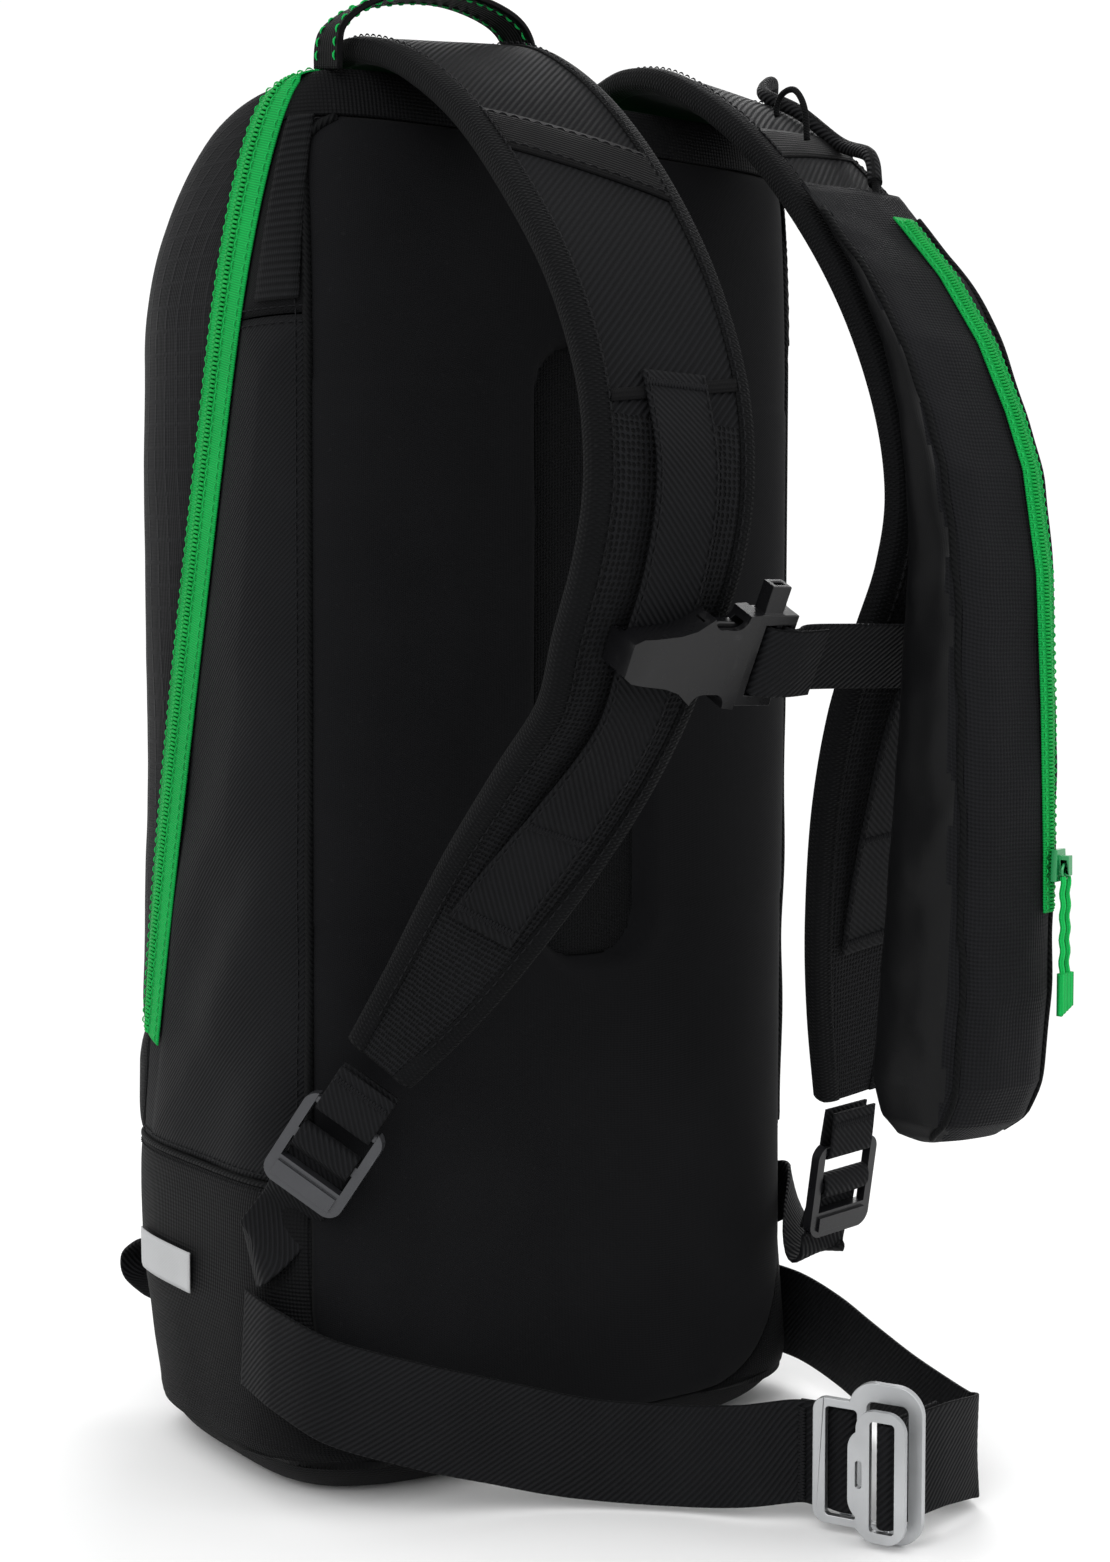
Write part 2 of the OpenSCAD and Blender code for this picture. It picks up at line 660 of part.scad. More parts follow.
module belt_right() {
    fold = [
        [37, 26], [33, 8], [31, 2], [29.6, -1.6], [28.2, -3.2], [27.4, -5.0], [27.6, -7.0], [29.2, -8.4],
        [31.4, -8.1], [33, -6.2], [33.4, -2], [34.2, 3], [36, 10], [41, 26],
    ];
    route = [
        [86, -211, 24], [92, -203, 22], [96.5, -188, 22], [103, -160, 24], [112, -128, 27], [121, -97, 30],
        [127, -66, 32], belt_root_right,
    ];
    color("#141517") upright(concat([for (p = fold) from_buckle(p)], route), 3);
}
module rounded(x0, x1, z0, z1, r) {
    translate([x0 + r, z0]) square([x1 - x0 - 2 * r, z1 - z0]);
    translate([x0, z0 + r]) square([x1 - x0, z1 - z0 - 2 * r]);
    for (x = [x0 + r, x1 - r], z = [z0 + r, z1 - r]) translate([x, z]) circle(r, $fn = 48);
}
slot_half = 19.9;
module belt_hook_plate() {
    color("#b9bcbe") on_buckle() through_y(-1.5, 1.5) difference() {
        union() {
            rounded(0, 26, -23, 23, 5);
            rounded(14, 42, -26.4, 31, 10);
        }
        rounded(5, 17, -slot_half, slot_half, 1.5);
        rounded(21, 36.5, -slot_half - 0.4, 24, 2.5);
    }
}
release_pin = [30.3, -5.9];
module belt_release_plate() {
    color("#c4c7c9") on_buckle() through_y(-10, -7.4) difference() {
        union() {
            rounded(17, 38.5, -17, 17, 8);
            rounded(20, 38.5, -23.6, 23.6, 7);
        }
        rounded(25.2, 34.6, -slot_half, slot_half, 1.5);
        rounded(19.8, 22.4, -5, 5, 1.2);
    }
}
module belt_slide_bar_left() {
    color("#8d9194") on_buckle() translate([9, 2.2, -22]) cube([5, 2.2, 44]);
}
module belt_slide_bar_right() {
    color("#8d9194") on_buckle() translate([release_pin[0], release_pin[1], -22.4]) cylinder(r = 1.2, h = 44.8, $fn = 32);
}

// ---------- inside ----------
module plate_y(x0, x1, y0, y1, z0, z1, r) { through_y(y0, y1) rounded(x0, x1, z0, z1, r); }
module frame_sheet() { color("#2b2d31") plate_y(-72, 72, -73, -71.4, 34, 470, 14); }
module frame_stay() { color("#a8abad") plate_y(-10, 10, -70.8, -68, 44, 462, 6); }
module tool_sleeve() {
    color("#5a5e63") difference() {
        translate([-98, -13, 14]) cube([154, 12, 282]);
        translate([-97, -12, 15]) cube([152, 10, 282]);
    }
}
cylinder_at = [81, -41];
cylinder_r = 26;
cylinder_wall = 2.4;
// Half the cylinder's section, t in from its outside: base round, side, shoulder.
function cylinder_side(t) = let (r = cylinder_r) concat(
    [for (q = [-90 : 15 : 0]) [r - 12 + (12 - t) * cos(q), 12 + (12 - t) * sin(q)]],
    [for (q = [0 : 15 : 75]) [7 + (r - 7 - t) * cos(q), 196 + (20 - t) * sin(q)]]
);
module gas_cylinder() {
    inner = cylinder_side(cylinder_wall);
    last = len(inner) - 1;
    color("#d0582a") translate([cylinder_at[0], cylinder_at[1], 130]) rotate_extrude($fn = 64) polygon(concat(
        [[0, 0]], cylinder_side(0), [[9, 219], [9, 236], [5, 236], [5, 214]],
        [for (i = [last : -1 : 0]) inner[i]], [[0, cylinder_wall]]
    ));
}
module inflator_head() {
    color("#33363b") difference() {
        translate([cylinder_at[0] - 17, cylinder_at[1] - 15, 358]) cube([34, 30, 47]);
        translate([cylinder_at[0], cylinder_at[1], 357]) cylinder(r = 9.08, h = 10, $fn = 48);
        translate([cylinder_at[0] + 8, cylinder_at[1], 376]) cylinder(r = plunger_r + 0.06, h = 40, $fn = 32);
        translate([cylinder_at[0] - 7, cylinder_at[1], 385]) cylinder(r = 7, h = 30, $fn = 48);
    }
}
module cylinder_strap() {
    color("#202226") for (z = [180, 290]) translate([cylinder_at[0], cylinder_at[1], z]) difference() {
        cylinder(r = cylinder_r + 1.8, h = 22, $fn = 64);
        translate([0, 0, -1]) cylinder(r = cylinder_r + 0.3, h = 24, $fn = 64);
    }
}
plunger_r = 2.5;
module piercing_plunger() {
    color("#c8cacc") translate([cylinder_at[0] + 8, cylinder_at[1], 384]) {
        cylinder(r = plunger_r, h = 29, $fn = 32);
        translate([0, 0, 28]) cylinder(r = 4, h = 4, $fn = 32);
    }
}
module airbag() {
    color("#d9480f") translate([0, 0, 427]) linear_extrude(62) translate([0, -22]) {
        square([144, 78], center = true);
        square([172, 50], center = true);
        for (sx = [-1, 1], sy = [-1, 1]) translate([sx * 72, sy * 25]) circle(14, $fn = 48);
    }
}
module airbag_throat() {
    color("#b43c0c") translate([cylinder_at[0] - 7, cylinder_at[1], 405.4]) difference() {
        cylinder(r = 9, h = 21.3, $fn = 48);
        translate([0, 0, -1]) cylinder(r = 7, h = 30, $fn = 48);
    }
}
cable_r = 1.5;
cable_lift = strap_t / 2 + 1.6 + cable_r;
module cable(r) {
    pts = strap_points(1);
    dirs = strap_dirs(1);
    on_strap = [
        for (i = [5 : 2 : 9]) let (t = tangent(pts, i), w = across(t, dirs[i]))
            pts[i] + 20 * w + cable_lift * cross(t, w)
    ];
    route = concat(
        [[89, -41, 417.5], [94, -40, 445], [94, -42, 480], [97, -50, 506], [103, -65, 527], [103, -70, 541],
            [98, -77, 549.5]],
        on_strap,
        [[73, -163, 503], [cable_x + 3, -175, 490], [cable_x, -184, 470], [63, -214, 430], [60, -235, 398],
            [57, -243, 370], [56, -244, 342]]
    );
    tube(route, r, 3, 8);
}
module trigger_cable() { color("#2a2b2e") cable(cable_r); }
handle_z = 250;
module trigger_handle() {
    color("#c92a2a") translate([56, -244, handle_z]) {
        translate([-6, -6, 14]) cube([12, 12, 70]);
        difference() {
            translate([-16, -9, -30]) cube([32, 18, 46]);
            translate([-9, -12, -20]) cube([18, 24, 24]);
        }
    }
}

back_panel();
spine_channel();
frame_sheet();
frame_stay();
side_panel_left();
side_panel_right();
upper_gusset_left();
upper_gusset_right();
ribbed_tape_left();
ribbed_tape_right();
base_wrap();
base_patch();
front_hinge_panel();
top_panel();
main_zip_body_tape();
main_zip_slider();
main_zip_pull();
front_panel();
main_zip_door_tape();
haul_loop();
reflective_patch();
ski_loops();
shoulder_strap_left();
shoulder_strap_right();
rail_webbing_left();
rail_webbing_right();
lifter_band_left();
key_loop();
ladder_lock_left();
ladder_lock_right();
buckle_loop_left();
buckle_loop_right();
adjuster_webbing_left();
adjuster_webbing_right();
chest_clip();
chest_anchor();
chest_buckle_male();
chest_webbing();
chest_prong_upper();
chest_prong_lower();
strap_pocket();
pocket_zip_tape();
pocket_zip_slider();
pocket_zip_pull();
belt_left();
belt_right();
belt_hook_plate();
belt_release_plate();
belt_slide_bar_left();
belt_slide_bar_right();
airbag();
airbag_throat();
inflator_head();
gas_cylinder();
cylinder_strap();
piercing_plunger();
trigger_cable();
trigger_handle();
tool_sleeve();
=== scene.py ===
import math

import bmesh
import bpy
import numpy as np
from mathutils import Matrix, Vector, noise


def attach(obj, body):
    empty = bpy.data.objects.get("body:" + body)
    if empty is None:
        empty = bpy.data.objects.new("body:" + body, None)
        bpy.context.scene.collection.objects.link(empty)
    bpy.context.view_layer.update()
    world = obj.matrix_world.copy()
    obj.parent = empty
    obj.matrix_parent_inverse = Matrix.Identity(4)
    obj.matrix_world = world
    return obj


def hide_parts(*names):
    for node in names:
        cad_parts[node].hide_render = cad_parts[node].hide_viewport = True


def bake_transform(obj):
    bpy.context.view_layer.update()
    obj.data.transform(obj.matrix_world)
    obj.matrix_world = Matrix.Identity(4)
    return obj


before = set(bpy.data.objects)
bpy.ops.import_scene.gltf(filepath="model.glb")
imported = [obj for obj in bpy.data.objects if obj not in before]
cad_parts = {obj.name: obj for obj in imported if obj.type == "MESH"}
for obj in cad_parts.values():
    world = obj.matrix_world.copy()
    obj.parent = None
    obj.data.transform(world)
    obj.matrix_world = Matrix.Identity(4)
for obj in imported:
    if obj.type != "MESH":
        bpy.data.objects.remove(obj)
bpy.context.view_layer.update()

MM = 0.001    # one millimetre, in metres
UP = np.array([0.0, 0.0, 1.0])


# ---------------------------------------------------------------- camera and stage

def add_camera(place, heading, tilt, lens):
    """heading turns right from +Y, tilt is up from level, both in degrees."""
    data = bpy.data.cameras.new("camera")
    data.lens = lens
    data.sensor_width = 36
    camera = bpy.data.objects.new("camera", data)
    camera.location = place
    camera.rotation_euler = (math.radians(90 + tilt), 0, math.radians(-heading))
    bpy.context.collection.objects.link(camera)
    bpy.context.scene.camera = camera


add_camera((-0.533, -0.824, 0.319), heading=35, tilt=-3.2, lens=54.2)


def add_area_light(name, place, target, size, power):
    data = bpy.data.lights.new(name, "AREA")
    data.shape = "RECTANGLE"
    data.size, data.size_y = size
    data.energy = power
    lamp = bpy.data.objects.new(name, data)
    lamp.location = place
    lamp.rotation_euler = (Vector(target) - Vector(place)).to_track_quat("-Z", "Y").to_euler()
    bpy.context.collection.objects.link(lamp)


# ---------------------------------------------------------------- numbers and curves

def unit(v):
    return v / np.maximum(np.linalg.norm(v, axis=-1, keepdims=True), 1e-12)


def smoothstep(a, b, x):
    t = np.clip((np.asarray(x, float) - a) / (b - a), 0, 1)
    return t * t * (3 - 2 * t)


def catmull(points, steps):
    """The spline of part.scad: steps points from each point to the next, and the last one."""
    p = np.array(points, float)
    out = []
    for i in range(len(p) - 1):
        a, b, c, d = p[max(0, i - 1)], p[i], p[i + 1], p[min(len(p) - 1, i + 2)]
        for k in range(steps):
            t = k / steps
            out.append(0.5 * (2 * b + (c - a) * t + (2 * a - 5 * b + 4 * c - d) * t * t
                              + (3 * b - a - 3 * c + d) * t ** 3))
    out.append(p[-1])
    return np.array(out)


def sampled(at, s, rows):
    """Each column of rows, read at places along the lengths s."""
    return np.stack([np.interp(at, s, rows[:, k]) for k in range(rows.shape[1])], axis=-1)


def resample(points, step):
    """Points an even step apart along a polyline, any number of columns; the first three are the place."""
    p = np.asarray(points, float)
    s = np.concatenate([[0], np.cumsum(np.linalg.norm(np.diff(p[:, :3], axis=0), axis=1))])
    n = max(2, int(round(s[-1] / step)) + 1)
    t = np.linspace(0, s[-1], n)
    return sampled(t, s, p)


def lengths(points):
    return np.concatenate([[0], np.cumsum(np.linalg.norm(np.diff(points, axis=0), axis=1))])


def frames(points, widths):
    """Unit tangent, width and outward directions along points."""
    t = unit(np.gradient(points, axis=0))
    w = np.broadcast_to(np.asarray(widths, float), points.shape)
    w = unit(w - np.sum(w * t, axis=1, keepdims=True) * t)
    return t, w, np.cross(t, w)


def wrinkle(points, scale, seed, stretch=(1, 1, 1)):
    """Smooth noise between -1 and 1 at points, in the unit that scale is in."""
    s = np.array(stretch, float) / scale
    flat = points.reshape(-1, 3) * s + seed * 7.31
    values = [noise.noise(Vector(p)) for p in flat]
    return np.array(values).reshape(points.shape[:-1])


# ---------------------------------------------------------------- meshes

def new_object(name, verts, faces, material, smooth=True, uvs=None):
    mesh = bpy.data.meshes.new(name)
    mesh.from_pydata([tuple(v) for v in verts], [], faces)
    mesh.update()
    if uvs is not None:
        layer = mesh.uv_layers.new(name="UVMap")
        loops = np.zeros(len(mesh.loops), dtype=np.int32)
        mesh.loops.foreach_get("vertex_index", loops)
        layer.data.foreach_set("uv", np.asarray(uvs, float)[loops].ravel())
    if smooth:
        mesh.shade_smooth()
    if material is not None:
        mesh.materials.append(material)
    obj = bpy.data.objects.new(name, mesh)
    bpy.context.collection.objects.link(obj)
    return obj


def grid_faces(rows, cols, start=0, flip=False, close=False):
    faces = []
    for i in range(rows - 1):
        for j in range(cols if close else cols - 1):
            k = (j + 1) % cols
            row, above = start + i * cols, start + (i + 1) * cols
            quad = [row + j, row + k, above + k, above + j]
            faces.append(quad[::-1] if flip else quad)
    return faces


def prism_faces(rows, cols, start):
    """The faces of a closed row of point rings, its two ends filled."""
    last = start + (rows - 1) * cols
    ends = [[start + k for k in range(cols)], [last + k for k in range(cols - 1, -1, -1)]]
    return grid_faces(rows, cols, start, close=True) + ends


def grid_normals(grid):
    return unit(np.cross(np.gradient(grid, axis=1), np.gradient(grid, axis=0)))


def sheet_solid(name, grid, thickness, material, outward):
    """A closed sheet: grid is its outer face, thickness goes the other way from outward."""
    rows, cols = grid.shape[:2]
    n = grid_normals(grid)
    flip = np.sum(n * outward) < 0
    if flip:
        n = -n
    verts = np.concatenate([grid.reshape(-1, 3), (grid - n * thickness).reshape(-1, 3)])
    m = rows * cols
    faces = grid_faces(rows, cols, 0, not flip) + grid_faces(rows, cols, m, flip)
    rim = ([(0, j) for j in range(cols)] + [(i, cols - 1) for i in range(1, rows)]
           + [(rows - 1, j) for j in range(cols - 2, -1, -1)] + [(i, 0) for i in range(rows - 2, 0, -1)])
    ids = [i * cols + j for i, j in rim]
    for a, b in zip(ids, ids[1:] + ids[:1]):
        quad = [a, b, b + m, a + m]
        faces.append(quad[::-1] if not flip else quad)
    du = np.linalg.norm(np.diff(grid, axis=1), axis=2)
    dv = np.linalg.norm(np.diff(grid, axis=0), axis=2)
    u = np.concatenate([np.zeros((rows, 1)), np.cumsum(du, axis=1)], axis=1)
    v = np.concatenate([np.zeros((1, cols)), np.cumsum(dv, axis=0)], axis=0)
    uv = np.stack([u - u.mean(axis=1, keepdims=True), v], axis=2)
    uvs = np.concatenate([uv.reshape(-1, 2)] * 2)
    return new_object(name, verts, faces, material, uvs=uvs)


def section_sweep(name, points, w, n, section, material):
    """Sweeps a closed section of (across, outward) pairs; section may be one, or one for each point."""
    sec = np.asarray(section, float)
    if sec.ndim == 2:
        sec = np.broadcast_to(sec, (len(points),) + sec.shape)
    count = sec.shape[1]
    verts = points[:, None, :] + sec[:, :, :1] * w[:, None, :] + sec[:, :, 1:] * n[:, None, :]
    verts = verts.reshape(-1, 3)
    faces = prism_faces(len(points), count, 0)
    along = lengths(points)
    across = np.concatenate([[0], np.cumsum(np.linalg.norm(np.diff(sec[0], axis=0), axis=1))])
    uvs = np.stack(np.meshgrid(across, along), axis=2).reshape(-1, 2)
    obj = new_object(name, verts, faces, material, uvs=uvs)
    fix_normals(obj)
    return obj


def fix_normals(obj):
    bm = bmesh.new()
    bm.from_mesh(obj.data)
    bmesh.ops.recalc_face_normals(bm, faces=bm.faces)
    bm.to_mesh(obj.data)
    bm.free()


def tube(name, points, radius, material, sides=8):
    pts = np.asarray(points, float)
    t = unit(np.gradient(pts, axis=0))
    away = UP if np.abs(t[:, 2]).max() < 0.9 else [0.31, 0.95, 0.05]
    ref = np.tile(away, (len(pts), 1))
    w = unit(ref - np.sum(ref * t, axis=1, keepdims=True) * t)
    for i in range(1, len(pts)):
        w[i] = unit(w[i - 1] - np.dot(w[i - 1], t[i]) * t[i])
    n = np.cross(t, w)
    section = [(radius * math.cos(2 * math.pi * k / sides), radius * math.sin(2 * math.pi * k / sides))
               for k in range(sides)]
    return section_sweep(name, pts, w, n, section, material)


def apply_modifiers(obj):
    bpy.ops.object.select_all(action="DESELECT")
    obj.select_set(True)
    bpy.context.view_layer.objects.active = obj
    for m in list(obj.modifiers):
        bpy.ops.object.modifier_apply(modifier=m.name)
    return obj


def rounded_copy(node, radius, material):
    """A CAD solid's detailed twin: the same shape with its edges rounded over."""
    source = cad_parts[node]
    mesh = source.data.copy()
    obj = bpy.data.objects.new(node + "_detail", mesh)
    bpy.context.collection.objects.link(obj)
    bm = bmesh.new()
    bm.from_mesh(mesh)
    bmesh.ops.remove_doubles(bm, verts=bm.verts, dist=1e-6)
    bmesh.ops.dissolve_limit(bm, angle_limit=math.radians(1.5), verts=bm.verts, edges=bm.edges)
    bm.to_mesh(mesh)
    bm.free()
    bevel = obj.modifiers.new("round", "BEVEL")
    bevel.width = radius
    bevel.segments = 3
    bevel.limit_method = "ANGLE"
    bevel.angle_limit = math.radians(35)
    bevel.use_clamp_overlap = True
    bevel.harden_normals = False
    apply_modifiers(obj)
    mesh = obj.data
    mesh.materials.clear()
    mesh.materials.append(material)
    mesh.shade_smooth()
    smooth = obj.modifiers.new("edges", "WEIGHTED_NORMAL")
    smooth.keep_sharp = True
    apply_modifiers(obj)
    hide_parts(node)
    return obj


# A stitch is a short thread that dips into the fabric at both ends.
def stitches(name, path, normals, material, length=0.0030, gap=0.0011, radius=0.00032, lift=0.00015):
    data = np.concatenate([path, normals], axis=1)
    fine = resample(data, 0.0004)
    pts, nor = fine[:, :3], unit(fine[:, 3:6])
    s = lengths(pts)
    verts, faces = [], []
    start = gap
    while start + length < s[-1]:
        ts = np.linspace(start, start + length, 4)
        centre = sampled(ts, s, pts)
        n = unit(sampled(ts, s, nor))
        t = unit(np.gradient(centre, axis=0))
        b = np.cross(t, n)
        rise = np.array([-0.6, 1.0, 1.0, -0.6]) * radius + lift
        fat = np.array([0.55, 1, 1, 0.55]) * radius
        base = len(verts)
        for i in range(4):
            for k in range(5):
                a = 2 * math.pi * k / 5
                out = n[i] * (rise[i] + fat[i] * math.sin(a)) + b[i] * fat[i] * math.cos(a)
                verts.append(centre[i] + out)
        faces += prism_faces(4, 5, base)
        start += length + gap
    if not verts:
        return None
    obj = new_object(name, verts, faces, material)
    return obj


# ---------------------------------------------------------------- materials

class Shader:
    """A node material under construction."""

    def __init__(self, name, **values):
        self.mat = bpy.data.materials.new(name)
        self.mat.use_nodes = True
        self.tree = self.mat.node_tree
        self.bsdf = self.tree.nodes["Principled BSDF"]
        self.normal = None
        for key, value in values.items():
            self.bsdf.inputs[key.replace("_", " ")].default_value = value

    def node(self, kind, inputs=None, **props):
        n = self.tree.nodes.new(kind)
        for key, value in props.items():
            setattr(n, key, value)
        for key, value in (inputs or {}).items():
            if isinstance(value, bpy.types.NodeSocket):
                self.tree.links.new(value, n.inputs[key])
            else:
                n.inputs[key].default_value = value
        return n

    def math(self, op, a, b=0.5, clamp=False):
        return self.node("ShaderNodeMath", {0: a, 1: b}, operation=op, use_clamp=clamp).outputs[0]

    def mix(self, factor, a, b):
        return self.node("ShaderNodeMix", {0: factor, 6: a, 7: b}, data_type="RGBA").outputs[2]

    def ramp(self, value, low, high, to_low=0.0, to_high=1.0):
        return self.node("ShaderNodeMapRange", {0: value, 1: low, 2: high, 3: to_low, 4: to_high}).outputs[0]

    def coords(self, kind="UV"):
        return self.node("ShaderNodeTexCoord").outputs[kind]

    def noise(self, scale, detail=3.0, place=None, rough=0.55):
        source = place or self.coords("Object")
        return self.node("ShaderNodeTexNoise",
                         {"Vector": source, "Scale": scale, "Detail": detail, "Roughness": rough}).outputs[0]

    def bands(self, place, direction, pitch, bend=0.0):
        return self.node("ShaderNodeTexWave", {"Vector": place, "Scale": 0.31416 / pitch, "Distortion": bend,
                                               "Detail": 1.0, "Detail Scale": 2.0},
                         wave_type="BANDS", bands_direction=direction).outputs[1]

    def bump(self, height, distance, strength=1.0):
        inputs = {"Height": height, "Distance": distance, "Strength": strength}
        if self.normal is not None:
            inputs["Normal"] = self.normal
        self.normal = self.node("ShaderNodeBump", inputs).outputs[0]

    def done(self, colour=None, roughness=None):
        if colour is not None:
            self.tree.links.new(colour, self.bsdf.inputs["Base Color"])
        if roughness is not None:
            self.tree.links.new(roughness, self.bsdf.inputs["Roughness"])
        if self.normal is not None:
            self.tree.links.new(self.normal, self.bsdf.inputs["Normal"])
        return self.mat


def rgba(colour, share=1.0):
    return tuple(min(1.0, c * share) for c in colour) + (1.0,)


def weave(s, place, kind, pitch):
    """A height between 0 and 1 for one kind of cloth, its pitch in metres."""
    if kind == "rib":
        along = s.bands(place, "X", pitch)
        picks = s.bands(place, "Y", pitch * 0.42)
        return s.math("ADD", s.math("MULTIPLY", along, 0.72), s.math("MULTIPLY", picks, 0.28))
    if kind == "grosgrain":
        across = s.bands(place, "Y", pitch, 0.15)
        ends = s.bands(place, "X", pitch * 0.35)
        return s.math("ADD", s.math("MULTIPLY", across, 0.8), s.math("MULTIPLY", ends, 0.2))
    if kind == "twill":
        return s.bands(place, "DIAGONAL", pitch, 0.3)
    if kind == "knit":
        turned = []
        for angle in (64, -64):
            inputs = {"Vector": place, "Rotation": (0, 0, math.radians(angle))}
            turned.append(s.bands(s.node("ShaderNodeMapping", inputs).outputs[0], "X", pitch))
        return s.math("MULTIPLY", *turned)
    if kind == "mesh":
        cells = s.node("ShaderNodeTexVoronoi", {"Vector": place, "Scale": 1 / pitch, "Randomness": 0.22},
                       voronoi_dimensions="2D").outputs[0]
        return s.ramp(cells, 0.22, 0.46)
    warp = s.bands(place, "X", pitch, 0.2)
    weft = s.bands(place, "Y", pitch, 0.2)
    cloth = s.math("MULTIPLY", s.math("ADD", warp, weft), 0.5)
    if kind != "ripstop":
        return cloth
    lines = s.math("MAXIMUM", s.ramp(s.bands(place, "X", pitch * 7), 0.88, 0.98),
                   s.ramp(s.bands(place, "Y", pitch * 7), 0.88, 0.98))
    return s.math("ADD", s.math("MULTIPLY", cloth, 0.7), s.math("MULTIPLY", lines, 0.6))


def fabric(name, colour, kind, pitch_mm, depth=0.3, rough=0.75, sheen=0.25, mottle=0.35, thread=0.55,
           coat=0.0, fuzz=0.00006):
    s = Shader(name, Roughness=rough, Sheen_Weight=sheen * 0.05, Sheen_Roughness=0.45,
               Specular_IOR_Level=0.06, Coat_Weight=coat, Coat_Roughness=0.35)
    height = weave(s, s.coords("UV"), kind, pitch_mm * MM)
    broad = s.noise(22, 4)
    fine = s.noise(1500, 2)
    # Painted shade and light: the weave's low gaps take the colour times thread, darker, and its raised tops
    # the colour times 1.15, lighter, following the weave height.
    woven = s.mix(height, rgba(colour, thread), rgba(colour, 1.15))
    lint = s.ramp(s.noise(420, 2), 0.66, 0.78)
    dusty = s.mix(s.math("MULTIPLY", lint, 0.12), woven, rgba([c + 0.012 for c in colour], 1.5))
    tone = s.mix(s.ramp(broad, 0.35, 0.75, 0.0, mottle), dusty, rgba([c + 0.002 for c in colour], 1.5))
    s.bump(height, pitch_mm * MM * depth)
    s.bump(fine, fuzz, 0.6)
    return s.done(tone, s.ramp(broad, 0.2, 0.8, rough - 0.06, rough + 0.08))


def moulded(name, colour, rough=0.35, grain=700, depth=0.00005, coat=0.0, metallic=0.0, specular=0.5):
    """Moulded plastic: fine spark-eroded grain, soft streaks and rubbed spots scattered by noise."""
    s = Shader(name, Roughness=rough, Metallic=metallic, Coat_Weight=coat, Coat_Roughness=0.12,
               Specular_IOR_Level=specular)
    broad = s.noise(40, 3)
    wear = s.ramp(s.noise(160, 5), 0.62, 0.74)
    tone = s.mix(s.ramp(broad, 0.3, 0.8, 0.0, 0.5), rgba(colour), rgba([c + 0.006 for c in colour], 1.35))
    tone = s.mix(s.math("MULTIPLY", wear, 0.16), tone, rgba([c + 0.03 for c in colour], 1.6))
    s.bump(s.noise(grain, 3), depth)
    return s.done(tone, s.ramp(broad, 0.25, 0.8, rough - 0.05, rough + 0.1))


def metal(name, colour, rough=0.3, streak=(1, 1, 40), depth=0.00003):
    """Brushed metal: streaks along one axis and a few fine scratches."""
    s = Shader(name, Roughness=rough, Metallic=1.0)
    place = s.node("ShaderNodeMapping", {"Vector": s.coords("Object"), "Scale": streak}).outputs[0]
    brushed = s.noise(900, 4, place, 0.7)
    broad = s.noise(30, 3)
    tone = s.mix(s.ramp(broad, 0.3, 0.75), rgba(colour, 0.82), rgba(colour, 1.08))
    scratch = s.ramp(s.noise(260, 6, place), 0.66, 0.7)
    tone = s.mix(s.math("MULTIPLY", scratch, 0.25), tone, rgba(colour, 0.55))
    s.bump(brushed, depth)
    return s.done(tone, s.ramp(brushed, 0.2, 0.8, rough - 0.07, rough + 0.12))
